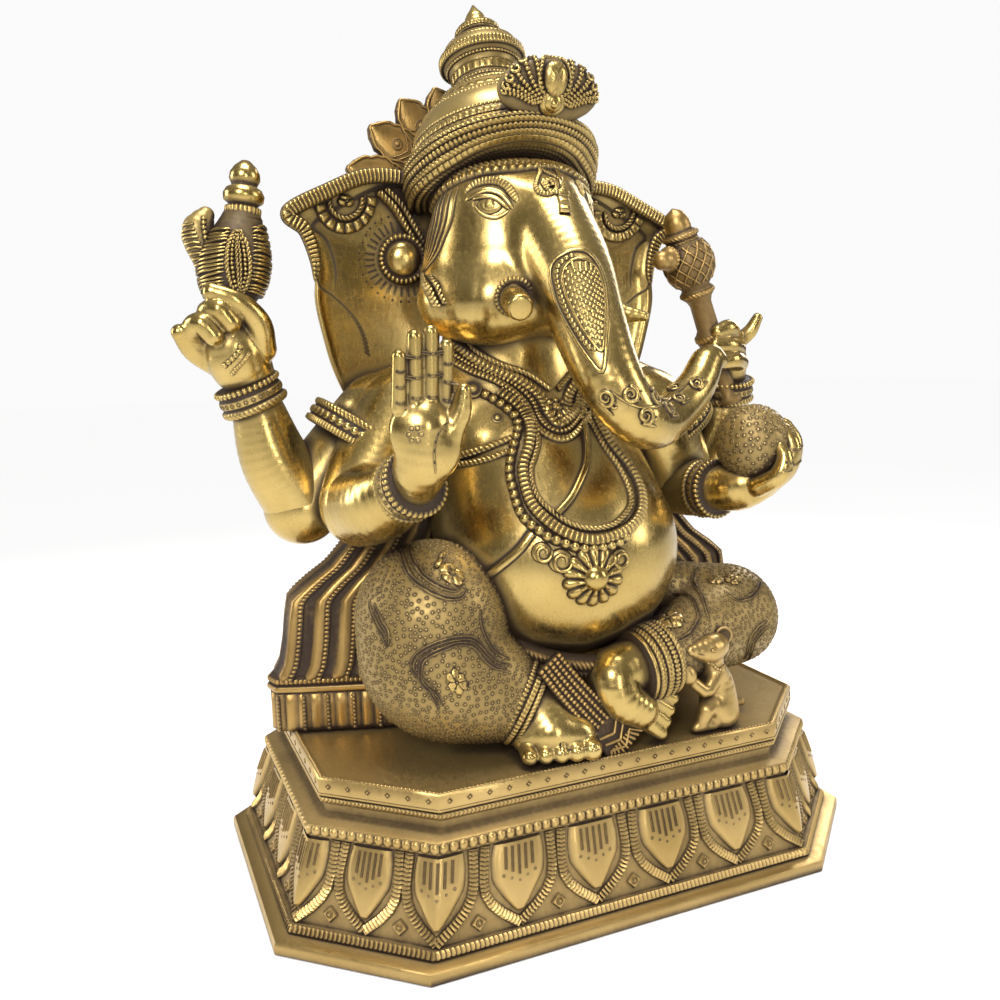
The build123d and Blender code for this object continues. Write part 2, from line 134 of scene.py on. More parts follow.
def add_lamp(name, place, target, size, power, warmth=1.0):
    data = bpy.data.lights.new(name, "AREA")
    data.shape = "RECTANGLE"
    data.size, data.size_y = size
    data.energy = power
    data.color = (1.0, 0.5 + 0.5 * warmth, 0.1 + 0.9 * warmth)
    lamp = bpy.data.objects.new(name, data)
    lamp.location = place
    lamp.rotation_euler = (Vector(target) - Vector(place)).to_track_quat("-Z", "Y").to_euler()
    bpy.context.collection.objects.link(lamp)


def light_room():
    middle = (0, 0, 0.25)
    add_lamp("key_lamp", (-1.0, -1.3, 1.1), middle, (0.5, 0.8), 24, 0.95)
    add_lamp("fill_lamp", (1.5, -0.9, 0.8), middle, (0.4, 0.9), 9, 0.95)
    add_lamp("top_lamp", (-0.1, -0.2, 1.6), middle, (0.7, 0.5), 20, 0.96)
    add_lamp("left_rim_lamp", (-1.4, 0.7, 0.6), middle, (0.35, 0.9), 10, 0.96)
    add_lamp("right_rim_lamp", (1.3, 0.8, 0.9), middle, (0.35, 0.9), 8, 0.96)
    add_lamp("front_strip_lamp", (-0.1, -1.7, 0.5), middle, (0.14, 0.6), 5, 0.96)
    world = bpy.data.worlds.new("studio")
    bpy.context.scene.world = world
    world.use_nodes = True
    tree = world.node_tree
    tree.nodes.clear()
    direction = add_node(tree, "ShaderNodeTexCoord", output=0)
    split_direction = tree.nodes.new("ShaderNodeSeparateXYZ")
    plug(tree, split_direction.inputs[0], direction)
    height = Field(tree, split_direction.outputs[2])
    room = mixed(tree, (height * 1.1 + 0.15).clamped(), (0.05, 0.035, 0.02, 1), (0.30, 0.29, 0.27, 1))
    seen = mixed(tree, add_node(tree, "ShaderNodeLightPath", output=3), (0.96, 0.96, 0.96, 1), room)
    background = add_node(tree, "ShaderNodeBackground", Color=seen, Strength=1.0)
    output = tree.nodes.new("ShaderNodeOutputWorld")
    plug(tree, output.inputs[0], background)
    bpy.context.scene.view_settings.view_transform = "Standard"


def lay_floor():
    bm = bmesh.new()
    bmesh.ops.create_grid(bm, x_segments=8, y_segments=8, size=6.0)
    mesh = bpy.data.meshes.new("floor")
    bm.to_mesh(mesh)
    bm.free()
    material = bpy.data.materials.new("floor_paper")
    material.use_nodes = True
    tree = material.node_tree
    shader = tree.nodes["Principled BSDF"]
    place = add_node(tree, "ShaderNodeTexCoord", output=3)
    cloud = add_node(tree, "ShaderNodeTexNoise", Vector=place, Scale=3.0)
    paper = mixed(tree, cloud, (0.66, 0.655, 0.645, 1), (0.70, 0.70, 0.695, 1))
    away = add_node(tree, "ShaderNodeVectorMath", {"operation": "LENGTH"}, output=1, Vector=place)
    fade = ((away - 0.42) * 1.4).clamped()
    plug(tree, shader.inputs["Base Color"], mixed(tree, fade, paper, (0.0, 0.0, 0.0, 1)))
    glow = mixed(tree, fade, (0.0, 0.0, 0.0, 1), (0.93, 0.93, 0.93, 1))
    plug(tree, shader.inputs["Emission Color"], glow)
    shader.inputs["Emission Strength"].default_value = 1.0
    shader.inputs["Roughness"].default_value = 0.9
    mesh.materials.append(material)
    floor = bpy.data.objects.new("floor", mesh)
    bpy.context.collection.objects.link(floor)


place_camera()
light_room()
lay_floor()

# ---- Pedestal -----------------------------------------------------------------------
# Hollow octagonal casting: a flat flange, a rope band, a flared course of hanging lotus
# petals, a row of beads and a cove under the deck.  Satin brass, dark in its cuts with patina
# and with painted occlusion shade.


def brass(name, light, deep, patina_shade_depth, roughness, grain=1.0, blotch=0.35):
    """Cast brass: rubbed bright where it stands out, dark with patina and painted occlusion shade in its
    recesses.
    """
    material = bpy.data.materials.new(name)
    material.use_nodes = True
    tree = material.node_tree
    shader = tree.nodes["Principled BSDF"]
    place = add_node(tree, "ShaderNodeTexCoord", output=3)
    cloud = add_node(tree, "ShaderNodeTexNoise", Vector=place, Scale=26.0, Detail=4.0)
    speck = add_node(tree, "ShaderNodeTexNoise", Vector=place, Scale=420.0, Detail=3.0)
    stretch = add_node(tree, "ShaderNodeMapping", Vector=place, Scale=(900.0, 260.0, 120.0),
                       Rotation=(0.3, 0.7, 0.4))
    scratch = add_node(tree, "ShaderNodeTexNoise", Vector=stretch, Scale=1.0, Detail=2.0)
    recess = add_node(tree, "ShaderNodeAttribute", {"attribute_name": "patina"}, output=2)
    # Ambient occlusion at 7 mm and 30 mm, painted into the colour as shade: dark in hollows, under
    # overhangs and between parts; in the fine cuts it also stands for patina.
    near = add_node(tree, "ShaderNodeAmbientOcclusion", {"samples": 6}, output=1, Distance=0.007)
    wide = add_node(tree, "ShaderNodeAmbientOcclusion", {"samples": 4}, output=1, Distance=0.03)
    occlusion_shade = ((0.90 - near) * 2.4).clamped() + ((0.60 - wide) * 1.2).clamped()
    uneven = (cloud - 0.5) * 1.3 + (speck - 0.5) * 0.8
    # Patina from the vertex attribute plus the painted occlusion shade, scaled by the third argument, with
    # random blotches of tone.
    patina_and_shade = ((recess + occlusion_shade) * patina_shade_depth + uneven * blotch * (recess + occlusion_shade * 0.8 + 0.12)).clamped()
    metal = mixed(tree, (cloud * 1.9 - 0.5).clamped(), light, deep)
    # Near-black colour for the patina and the painted shade; they also lower metallic and raise roughness
    # below.
    colour = mixed(tree, patina_and_shade, metal, (0.030, 0.015, 0.005, 1))
    plug(tree, shader.inputs["Base Color"], colour)
    plug(tree, shader.inputs["Metallic"], (1.0 - patina_and_shade * 0.75).clamped())
    rubbed = roughness + (speck - 0.5) * 0.16 + (scratch - 0.5) * 0.18 * grain
    plug(tree, shader.inputs["Roughness"], (rubbed + patina_and_shade * 0.35).clamped())
    bump = add_node(tree, "ShaderNodeBump", Height=speck * 0.6 + scratch * grain * 0.5 + cloud * 1.5,
                    Strength=0.10 * grain, Distance=0.0006)
    plug(tree, shader.inputs["Normal"], bump)
    return material


pedestal_brass = brass("pedestal_brass", (0.53, 0.375, 0.15, 1), (0.39, 0.265, 0.09, 1), 0.7, 0.36, 1.4)


def mid(node):
    """Centre of a node's box, in millimetres."""
    low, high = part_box(node)
    return np.array((low + high) / 2) / MM


def at(node, x, y, z):
    """Point given from the centre of a node, in millimetres."""
    return mid(node) + (x, y, z)


def route(node, points):
    """Points given from the centre of a node, in millimetres."""
    return mid(node) + np.array(points, float)


def unit(vectors):
    return vectors / np.maximum(np.linalg.norm(vectors, axis=-1, keepdims=True), 1e-9)


def whole_turn(count):
    """Angles of equal steps round a circle."""
    return np.linspace(0, 2 * math.pi, count, endpoint=False)


class Casting:
    """Gathers the surface of one piece: points in millimetres, faces, and patina."""

    def __init__(self):
        self.points = []
        self.faces = []
        self.patina = []
        self.count = 0

    def add(self, points, faces, patina=0.0):
        points = np.asarray(points, float).reshape(-1, 3)
        for group in faces if isinstance(faces, list) else [faces]:
            self.faces.append(np.atleast_2d(group) + self.count)
        self.points.append(points)
        self.patina.append(np.broadcast_to(np.ravel(patina), len(points)).astype(float))
        self.count += len(points)

    def grid(self, points, patina=0.0, round_rows=False, round_columns=False, capped=False):
        """Faces over a rows x columns x 3 array; they look along row step x column step."""
        rows, columns = points.shape[:2]
        index = np.arange(rows * columns).reshape(rows, columns)
        if round_rows:
            index = np.vstack([index, index[:1]])
        if round_columns:
            index = np.hstack([index, index[:, :1]])
        quads = np.stack([index[:-1, :-1], index[1:, :-1], index[1:, 1:], index[:-1, 1:]], axis=-1)
        faces = [quads.reshape(-1, 4)]
        if capped:
            faces += [index[0, :columns], index[-1, :columns][::-1]]
        self.add(points, faces, np.broadcast_to(patina, points.shape[:2]))

    def lathe(self, base, axis, outline, patina=0.0, sides=48):
        """Solid turned about a tilted axis from (radius, height) points, bottom to top."""
        axis = unit(np.array(axis, float))
        across = unit(np.cross(axis, (0.0, 1.0, 0.0)))
        deep = np.cross(axis, across)
        angle = whole_turn(sides)
        ring = across * np.cos(angle)[:, None] + deep * np.sin(angle)[:, None]
        radius, height = np.array(outline, float).T
        rows = base + ring[None] * radius[:, None, None] + axis * height[:, None, None]
        self.grid(rows[::-1], np.broadcast_to(patina, len(radius))[::-1, None], round_columns=True,
                  capped=True)

    def hoop(self, base, axis, radius, height, width, rise, kind, pitch=2.4, tilt=0.0, across=9):
        """Moulding laid round a turned part."""
        axis = unit(np.array(axis, float))
        first = unit(np.cross(axis, (0.0, 1.0, 0.0)))
        second = np.cross(axis, first)
        angle = whole_turn(64)[:, None]
        out = first * np.cos(angle) + second * np.sin(angle)
        band(self, base + out * radius + axis * height, unit(out + axis * tilt), width, rise, kind, pitch,
             True, across)

    def piece(self, name, material, nodes=(), slot="figure_brass", crisp=None):
        """Make the Blender object; it stands for the given CAD nodes, or for the one of its name."""
        mesh = bpy.data.meshes.new(name + "_casting")
        points = np.concatenate(self.points) * MM
        corners = np.concatenate([group.ravel() for group in self.faces])
        sizes = np.concatenate([np.full(len(group), group.shape[1]) for group in self.faces])
        mesh.vertices.add(len(points))
        mesh.vertices.foreach_set("co", points.ravel())
        mesh.loops.add(len(corners))
        mesh.loops.foreach_set("vertex_index", corners.astype(np.int32))
        mesh.polygons.add(len(sizes))
        starts = np.concatenate([[0], np.cumsum(sizes)[:-1]]).astype(np.int32)
        mesh.polygons.foreach_set("loop_start", starts)
        mesh.update(calc_edges=True)
        mesh.validate()
        mesh.attributes.new("patina", "FLOAT", "POINT")
        mesh.attributes["patina"].data.foreach_set("value", np.concatenate(self.patina))
        mesh.shade_smooth()
        if crisp:
            mesh.set_sharp_from_angle(angle=math.radians(crisp))
        mesh.materials.append(material)
        piece = bpy.data.objects.new(name + "_casting", mesh)
        bpy.context.collection.objects.link(piece)
        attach(piece, "root")
        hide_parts(*(nodes or [name]))


def even(points, step, closed=False):
    """The same line at an even spacing, measured on its first three columns."""
    points = np.asarray(points, float)
    if closed:
        points = np.vstack([points, points[:1]])
    run = np.concatenate([[0], np.cumsum(np.linalg.norm(np.diff(points[:, :3], axis=0), axis=1))])
    count = max(int(math.ceil(run[-1] / step)), 3)
    where = np.linspace(0, run[-1], count + 1)
    if closed:
        where = where[:-1]
    return np.stack([np.interp(where, run, column) for column in points.T], axis=1)


def ridge(along, across, kind):
    """Height from 0 to 1 of a moulding's relief; along counts repeats, across is -1 to 1."""
    wave = np.mod(along, 1.0) * 2 - 1
    dome = np.sqrt(np.maximum(1 - 0.9 * across**2, 0))
    if kind == "rope":
        return dome * (0.45 + 0.55 * np.abs(np.cos(np.pi * (along + 0.55 * across))) ** 0.8)
    if kind == "beads":
        return np.sqrt(np.maximum(1 - wave**2 * 0.98 - across**2 * 0.95, 0))
    if kind == "squares":
        return np.maximum(1 - np.maximum(np.abs(wave), np.abs(across) * 0.97) ** 5, 0)
    if kind == "chevron":
        return dome * (0.4 + 0.6 * np.abs(np.cos(np.pi * (along + 0.5 * np.abs(across)))))
    if kind == "hatch":
        return (1 - across**6) * (0.35 + 0.65 * np.abs(np.cos(np.pi * along)) ** 0.6)
    if kind == "scale":
        arc = 0.35 * np.sqrt(np.maximum(1 - across**2, 0))
        return (1 - 0.5 * across**4) * (0.35 + 0.65 * np.mod(along - arc, 1))
    if kind == "groove":
        return np.where(np.abs(across) < 0.45, 0.0, 1 - ((np.abs(across) - 0.7) / 0.32) ** 2) + 0 * along
    return dome + 0 * along


def band(casting, path, normals, width, height, kind="plain", pitch=2.4, closed=False, across=9,
         sink=0.5, taper=False):
    """Moulding of a given relief laid along a path on a surface."""
    fine = 1.2 if kind in ("plain", "groove") else pitch / 6
    line = even(np.hstack([path, normals]), fine, closed)
    points, up = line[:, :3], unit(line[:, 3:])
    if closed:
        ahead = unit(np.roll(points, -1, axis=0) - np.roll(points, 1, axis=0))
    else:
        ahead = unit(np.gradient(points, axis=0))
    side = unit(np.cross(up, ahead))
    run = np.concatenate([[0], np.cumsum(np.linalg.norm(np.diff(points, axis=0), axis=1))])
    if closed:
        length = run[-1] + np.linalg.norm(points[-1] - points[0])
        pitch = length / max(round(length / pitch), 1)
    share = np.linspace(-1, 1, across)[None, :]
    rise = ridge((run / pitch)[:, None], share, kind)
    girth = np.ones(len(points))
    if taper:
        girth = np.sqrt(np.clip(1 - np.linspace(-1, 1, len(points)) ** 4, 0.02, 1))
    lift = height * rise * girth[:, None]
    lift[:, [0, -1]] = -sink
    reach = side[:, None, :] * (share * width / 2 * girth[:, None])[..., None]
    dark = np.clip(1.15 - 1.7 * rise, 0, 1)
    if kind == "plain":
        dark = np.clip((np.abs(share) - 0.5) * 3.2, 0, 1) + 0 * rise
    casting.grid(points[:, None, :] + reach + up[:, None, :] * lift[..., None], dark, round_rows=closed)


def knob(casting, centres, ups, radius, height, sides=10, rings=4, dark=0.0, hollow=False):
    """Low round bosses, or small punched rings, standing on a surface."""
    centres, ups = np.atleast_2d(centres), unit(np.atleast_2d(ups))
    helper = np.where(np.abs(ups[:, 2:]) < 0.9, [[0, 0, 1.0]], [[1.0, 0, 0]])
    first = unit(np.cross(ups, helper))
    second = np.cross(ups, first)
    angle = whole_turn(sides)
    if hollow:
        profile = [(1.0, -0.4, 0.9), (0.84, 0.7, 0.0), (0.58, -0.1, 1.0), (0.26, 0.9, 0.1)]
    else:
        tilt = np.linspace(0, math.pi / 2 * 0.98, rings)
        profile = [(math.cos(t), math.sin(t) if t else -0.5, 0.6 if t == 0 else 0.0) for t in tilt]
    rows, tints = [], []
    turned = angle[None, :, None]
    ring = first[:, None] * np.cos(turned) + second[:, None] * np.sin(turned)
    for out, up, tint in profile:
        rows.append(centres[:, None] + ring * radius * out + ups[:, None] * height * up)
        tints.append(np.full((len(centres), sides), max(tint, dark)))
    block = np.stack(rows, axis=1)
    count, levels = block.shape[:2]
    index = np.arange(count * levels * sides).reshape(count, levels, sides)
    index = np.concatenate([index, index[:, :, :1]], axis=2)
    quads = np.stack([index[:, :-1, :-1], index[:, :-1, 1:], index[:, 1:, 1:], index[:, 1:, :-1]], axis=-1)
    casting.add(block, [quads.reshape(-1, 4), index[:, -1, :-1]], np.stack(tints, axis=1))


flange_high = np.array(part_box("pedestal_flange")[1]) / MM
deck_low, deck_high = (np.array(corner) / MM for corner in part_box("deck"))
foot_size = np.array((flange_high[0], flange_high[1], 58.0, 52.0))
top_size = np.array((deck_high[0], deck_high[1], 45.5, 41.5))


def octagon(half_width):
    """Eight corners of the pedestal where it is half_width wide, from the front right round."""
    share = (half_width - top_size[0]) / (foot_size[0] - top_size[0])
    x, y, cut_x, cut_y = top_size + share * (foot_size - top_size)
    right = [(x - cut_x, -y), (x, cut_y - y), (x, y - cut_y), (x - cut_x, y)]
    return np.array(right + [(-a, b) for a, b in reversed(right)])


def rim_points(half_width, z, around):
    """Points of that octagon at height z; around counts sides from the front right corner."""
    corners = octagon(half_width)
    side = np.mod(np.floor(around), 8).astype(int)
    part = np.mod(around, 1.0)[..., None]
    flat = corners[side] * (1 - part) + corners[(side + 1) % 8] * part
    return np.concatenate([flat, np.broadcast_to(np.asarray(z, float), flat.shape[:-1])[..., None]],
                          axis=-1)


def rim_normals(around, rise=0.0):
    """Outward directions of the sides, turned smoothly over a little at the corners."""
    soft = 0.06
    corners = octagon(foot_size[0])
    edges = np.roll(corners, -1, axis=0) - corners
    faces = unit(np.stack([edges[:, 1], -edges[:, 0]], axis=1))
    side = np.mod(np.floor(around), 8).astype(int)
    part = np.mod(around, 1.0)
    before = np.clip(0.5 - part / soft / 2, 0, 0.5)[..., None]
    after = np.clip(0.5 - (1 - part) / soft / 2, 0, 0.5)[..., None]
    flat = faces[side] * (1 - before - after)
    flat = unit(flat + faces[(side - 1) % 8] * before + faces[(side + 1) % 8] * after)
    return unit(np.concatenate([flat, np.full(flat.shape[:-1] + (1,), rise)], axis=-1))


def rim_band(casting, half_width, z, width, height, kind, pitch, rise=0.0, across=9):
    around = np.linspace(0, 8, 8 * 16, endpoint=False)
    band(casting, rim_points(half_width, z, around), rim_normals(around, rise), width, height, kind, pitch,
         closed=True, across=across)


def shell(casting, profile, shades=None):
    """Octagonal wall through (half width, height) levels, closed on itself."""
    around = np.linspace(0, 8, 8 * 4, endpoint=False)
    rows = np.stack([rim_points(half_width, z, around) for half_width, z in profile])
    casting.grid(rows[::-1], 0.0 if shades is None else np.array(shades)[::-1, None], round_rows=True,
                 round_columns=True)


petal_foot, petal_head = 11.5, 49.5
course_slope = 0.28


def on_course(around, z, lift=0.0):
    """Point on the flared petal course."""
    share = (z - petal_foot) / (petal_head - petal_foot)
    half_width = 154.5 - 10.5 * share + 1.2 * np.sin(np.pi * share)
    flat = [rim_points(w, h, a) for w, h, a in zip(np.ravel(half_width), np.ravel(z), np.ravel(around))]
    flat = np.reshape(flat, np.shape(z) + (3,))
    return flat + rim_normals(around, course_slope) * np.asarray(lift)[..., None]


def hang_petal(casting, centre, before, after):
    """One petal: a raised shield with fanned cuts, framed by a ribbed strip, point down."""
    def around(q):
        return centre + np.where(q < 0, q * before, q * after) / 2

    rows = np.linspace(0, 1, 16)[:, None]
    reach = np.where(rows < 0.5, 0.66 + 0.05 * np.sin(rows * 6), 0.665 * (1 - (rows - 0.5) / 0.5) ** 0.8)
    q = np.linspace(-1, 1, 13)[None, :] * reach
    z = petal_head - 1 - rows * 31 + 0 * q
    edge = np.abs(np.linspace(-1, 1, 13))[None, :] + 0 * rows
    lift = 1.7 * (1 - edge**8) - 0.4 * (edge == 1) + 0.5 * (1 - edge**2)
    lift[-1] = -0.3
    casting.grid(on_course(around(q), z, lift), np.clip(edge**10, 0, 1))
    frame_z = np.array([49, 42, 35, 29, 24, 19, 13.0])
    frame_q = np.array([0.845, 0.87, 0.88, 0.83, 0.68, 0.42, 0.0])
    for hand in (-1, 1):
        place = around(frame_q * hand)
        side = on_course(place, frame_z)
        up = rim_normals(place, course_slope)
        band(casting, side, up, 5.4, 1.7, "scale", 1.9)
    for cut in range(-2, 3):
        foot = 34.5 + 1.6 * abs(cut)
        line_z = np.linspace(petal_head - 2.5, foot, 6)
        place = around(np.full(6, cut * 0.17))
        band(casting, on_course(place, line_z, 2.3), rim_normals(place, course_slope), 1.7, 0.4, "groove",
             across=7, sink=0.6)
        dot = around(np.array([cut * 0.20]))
        knob(casting, on_course(dot, np.array([foot - 2.6]), 2.1), rim_normals(dot, course_slope), 0.9,
             0.25, sides=8, rings=3, dark=1.0)
    corner = np.array([centre + after / 2])
    up = rim_normals(corner, course_slope)
    low = on_course(corner, np.array([17.5]))
    knob(casting, low, up, 4.4, 1.6, sides=4, rings=3)
    knob(casting, low + up * 1.3, up, 1.9, 0.8, sides=12, hollow=True)


petals_on_side = [2, 3, 2, 5, 2, 3, 2, 5]


def make_pedestal():
    casting = Casting()
    outside = [
        (165.2, 0.0), (166, 0.9), (166, 4.6), (165.2, 6.0), (163.5, 6.5), (159, 6.7), (157.5, 7.0),
        (156.5, 11.3), (154.5, 11.5), (153.0, 18), (150.8, 28), (148, 38), (145.2, 46), (144.2, 49.5),
        (145.2, 50.0), (145.4, 55.8), (143.8, 56.5), (138.5, 57.0), (136.2, 58.6), (136.0, 62.0),
        (137.6, 63.6), (138, 66.9),
    ]
    inside = [(126, 66.9), (126, 50), (134, 49), (145, 0)]
    shades = [0.05] * 5 + [0.2, 0.7, 0.4, 0.6] + [0.45] * 4
    shades += [0.7, 0.4, 0.3, 0.5, 0.8, 0.5, 0.3, 0.3, 0.5] + [1] * 4
    shell(casting, outside + inside, shades)
    rim_band(casting, 157.2, 9.2, 4.6, 1.6, "scale", 2.3, 0.5)
    rim_band(casting, 145.2, 53.0, 5.6, 1.9, "beads", 4.6)
    rim_band(casting, 137.8, 65.2, 3.0, 1.3, "chevron", 2.0)
    for side, count in enumerate(petals_on_side):
        before = 1 / petals_on_side[side - 1]
        for petal in range(count):
            width = 1 / count
            hang_petal(casting, side + petal * width, before if petal == 0 else width, width)
    casting.piece("pedestal", pedestal_brass, ["pedestal_flange", "pedestal"], "pedestal_brass", crisp=40)


make_pedestal()

# ---- Deck ---------------------------------------------------------------------------
# Slab that closes the pedestal: its top is sunk a little inside a rim of tiny beads, and
# its edge is chased with a row of small diamonds.


def make_deck():
    casting = Casting()
    half, low, high = deck_high[0], deck_low[2], deck_high[2]
    profile = [
        (half - 1.2, low), (half - 0.2, low + 0.8), (half - 0.2, high - 1.4), (half - 0.9, high - 0.4),
        (half - 2.6, high - 0.2), (half - 3.6, high - 0.9), (half - 5, high - 1.0),
    ]
    around = np.linspace(0, 8, 8 * 4, endpoint=False)
    rows = [rim_points(w, z, around) for w, z in profile]
    centre = np.array([0, 0, high - 1.0])
    for share in (0.75, 0.5, 0.25, 0.01):
        rows.append(rows[6] * share + centre * (1 - share))
    under = np.array([0, 0, low])
    closing = [rows[0] * share + under * (1 - share) for share in (0.01, 0.5)]
    shades = np.array([0.6, 0.6, 0.5] + [0.05] * 4 + [0.5, 0.3] + [0.1] * 4)
    casting.grid(np.stack(closing + rows)[::-1], shades[::-1, None], round_columns=True, capped=True)
    rim_band(casting, half - 1.8, high - 0.3, 1.7, 0.6, "beads", 2.0, 9.0, across=5)
    rim_band(casting, half - 0.3, low + 1.2, 1.4, 0.5, "plain", 2.0)
    spots = np.concatenate([side + (np.arange(n) + 0.5) / n for side, n in enumerate([6, 9, 6, 19] * 2)])
    knob(casting, rim_points(half - 0.2, low + 5.4, spots), rim_normals(spots), 1.7, 0.5, sides=4,
         hollow=True)
    casting.piece("deck", pedestal_brass, slot="pedestal_brass", crisp=40)


make_deck()

# ---- Hold-down bolts ----------------------------------------------------------------
# Hexagon bolts under the deck, plain steel; the CAD solids keep their shape.


def make_bolts():
    steel = brass("bolt_steel", (0.42, 0.42, 0.43, 1), (0.30, 0.30, 0.31, 1), 0.5, 0.4, 1.0)
    bolts = bpy.data.objects["hold_down_bolts"]
    bolts.data.materials.clear()
    bolts.data.materials.append(steel)


make_bolts()

# ---- Belly, chest and seat ----------------------------------------------------------
# The great smooth belly under a soft breast and shoulders, cast in one with the seat.
# Rubbed to a warm shine, and dark only where the limbs and jewellery meet it: painted
# occlusion shade, which there also stands for patina.
figure_brass = brass("figure_brass", (0.55, 0.405, 0.15, 1), (0.40, 0.28, 0.085, 1), 1.15, 0.25, 0.8)


class Form:
    """Soft solid of rods and eggs that melt into one another."""

    def __init__(self):
        self.shapes = []
        self.seeds = []

    def rod(self, start, end, start_radius, end_radius, soft=4.0):
        start, end = np.array(start, float), np.array(end, float)
        along = end - start

        def distance(p):
            share = np.clip((p - start) @ along / (along @ along), 0, 1)
            near = start + share[:, None] * along
            return np.linalg.norm(p - near, axis=1) - (start_radius + (end_radius - start_radius) * share)

        self.shapes.append((distance, soft))
        steps = max(int(np.linalg.norm(along) / min(start_radius, end_radius) * 2), 1)
        for share in np.linspace(0, 1, steps + 1):
            radius = start_radius + (end_radius - start_radius) * share
            self.seeds.append((start + along * share, np.full(3, radius), np.eye(3)))
        return self

    def egg(self, centre, radii, turn=(0, 0, 0), soft=4.0):
        centre, radii = np.array(centre, float), np.array(radii, float)
        tilt, lean, spin = (Matrix.Rotation(math.radians(a), 3, axis) for a, axis in zip(turn, "XYZ"))
        basis = np.array(spin @ lean @ tilt)

        def distance(p):
            local = (p - centre) @ basis
            near = np.linalg.norm(local / radii, axis=1)
            return near * (near - 1) / np.maximum(np.linalg.norm(local / radii**2, axis=1), 1e-6)

        self.shapes.append((distance, soft))
        self.seeds.append((centre, radii, basis))
        return self

    def limb(self, points, radii, soft=4.0, step=4.0):
        """A bent limb through given points, of one smooth skin."""
        line = smooth_line(np.hstack([np.array(points, float), np.reshape(radii, (-1, 1))]), step)
        starts, alongs = line[:-1], np.diff(line, axis=0)
        squares = np.sum(alongs[:, :3] ** 2, axis=1)

        def distance(p):
            nearest = np.full(len(p), 1e9)
            for start, along, square in zip(starts, alongs, squares):
                share = np.clip((p - start[:3]) @ along[:3] / square, 0, 1)[:, None]
                reach = np.linalg.norm(p - start[:3] - share * along[:3], axis=1)
                nearest = np.minimum(nearest, reach - start[3] - share[:, 0] * along[3])
            return nearest

        self.shapes.append((distance, soft))
        for place in line:
            self.seeds.append((place[:3], np.full(3, place[3]), np.eye(3)))
        return self

    def distance(self, p):
        total = None
        for distance, soft in self.shapes:
            near = distance(p)
            if total is None:
                total = near
                continue
            share = np.clip(0.5 + 0.5 * (near - total) / soft, 0, 1)
            total = near + (total - near) * share - soft * share * (1 - share)
        return total

    def slope(self, p):
        steps = np.eye(3) * 0.2
        return unit(np.stack([self.distance(p + s) - self.distance(p - s) for s in steps], axis=1))

    def surface(self, voxel=1.6, floor=None):
        """Points, faces and normals of the melted solid, on an even mesh."""
        bm = bmesh.new()
        for centre, radii, basis in self.seeds:
            turned = Matrix((basis * radii).tolist()).to_4x4()
            bmesh.ops.create_icosphere(bm, subdivisions=3, radius=1.0,
                                       matrix=Matrix.Translation(centre) @ turned)
        rough = bpy.data.meshes.new("rough")
        bm.to_mesh(rough)
        bm.free()
        holder = bpy.data.objects.new("rough", rough)
        bpy.context.collection.objects.link(holder)
        remesh = holder.modifiers.new("remesh", "REMESH")
        remesh.mode = "VOXEL"
        remesh.voxel_size = voxel
        mesh = holder.evaluated_get(bpy.context.evaluated_depsgraph_get()).to_mesh()
        p = np.empty(len(mesh.vertices) * 3)
        mesh.vertices.foreach_get("co", p)
        p = p.reshape(-1, 3)
        loops = np.empty(len(mesh.loops), int)
        mesh.loops.foreach_get("vertex_index", loops)
        faces = loops.reshape(-1, 4)
        links = np.vstack([faces[:, [0, 1]], faces[:, [1, 2]], faces[:, [2, 3]], faces[:, [3, 0]]])
        holder.to_mesh_clear()
        bpy.data.objects.remove(holder)
        bpy.data.meshes.remove(rough)
        for turn in range(6):
            slope = self.slope(p)
            p = p - slope * np.clip(self.distance(p), -voxel * 2, voxel * 2)[:, None]
            if turn < 4:
                total = np.zeros_like(p)
                count = np.zeros(len(p))
                np.add.at(total, links[:, 0], p[links[:, 1]])
                np.add.at(count, links[:, 0], 1)
                pull = total / np.maximum(count, 1)[:, None] - p
                p = p + 0.5 * (pull - slope * np.sum(pull * slope, axis=1)[:, None])
        normals = self.slope(p)
        if floor is not None:
            p[:, 2] = np.maximum(p[:, 2], floor)
        return p, faces, normals

    def cast(self, casting, voxel=1.6, floor=None, patina=0.0):
        """Add the solid to a casting."""
        p, faces, _ = self.surface(voxel, floor)
        casting.add(p, faces, patina)
        return casting


class Skin:
    """Surface of some castings, to lay ornament on."""

    def __init__(self, *castings):
        points, faces, count = [], [], 0
        for casting in castings:
            points += np.concatenate(casting.points).tolist()
            for group in casting.faces:
                faces += (group + count).tolist()
            count += casting.count
        self.tree = BVHTree.FromPolygons(points, faces)

    def lay(self, path, lift=0.0, even_out=3):
        """The nearest surface points to a path and their normals, evened out along it."""
        found = [self.tree.find_nearest(Vector(p)) for p in path]
        points = np.array([hit[0] for hit in found])
        normals = np.array([hit[1] for hit in found])
        for _ in range(even_out if len(points) > 4 else 0):
            normals[1:-1] = normals[:-2] + 2 * normals[1:-1] + normals[2:]
            normals = unit(normals)
        return points + normals * lift, normals


def smooth_line(points, step=1.2, closed=False):
    """Smooth curve through given points."""
    points = np.asarray(points, float)
    if closed:
        ring = np.vstack([points[-1:], points, points[:2]])
    else:
        ring = np.vstack([2 * points[0] - points[1], points, 2 * points[-1] - points[-2]])
    share = np.linspace(0, 1, 12, endpoint=False)[:, None]
    spans = []
    for a, b, c, d in zip(ring, ring[1:], ring[2:], ring[3:]):
        spans.append(0.5 * (2 * b + (c - a) * share + (2 * a - 5 * b + 4 * c - d) * share**2
                            + (3 * b - a - 3 * c + d) * share**3))
    if not closed:
        spans.append(points[-1:])
    return even(np.vstack(spans), step, closed)


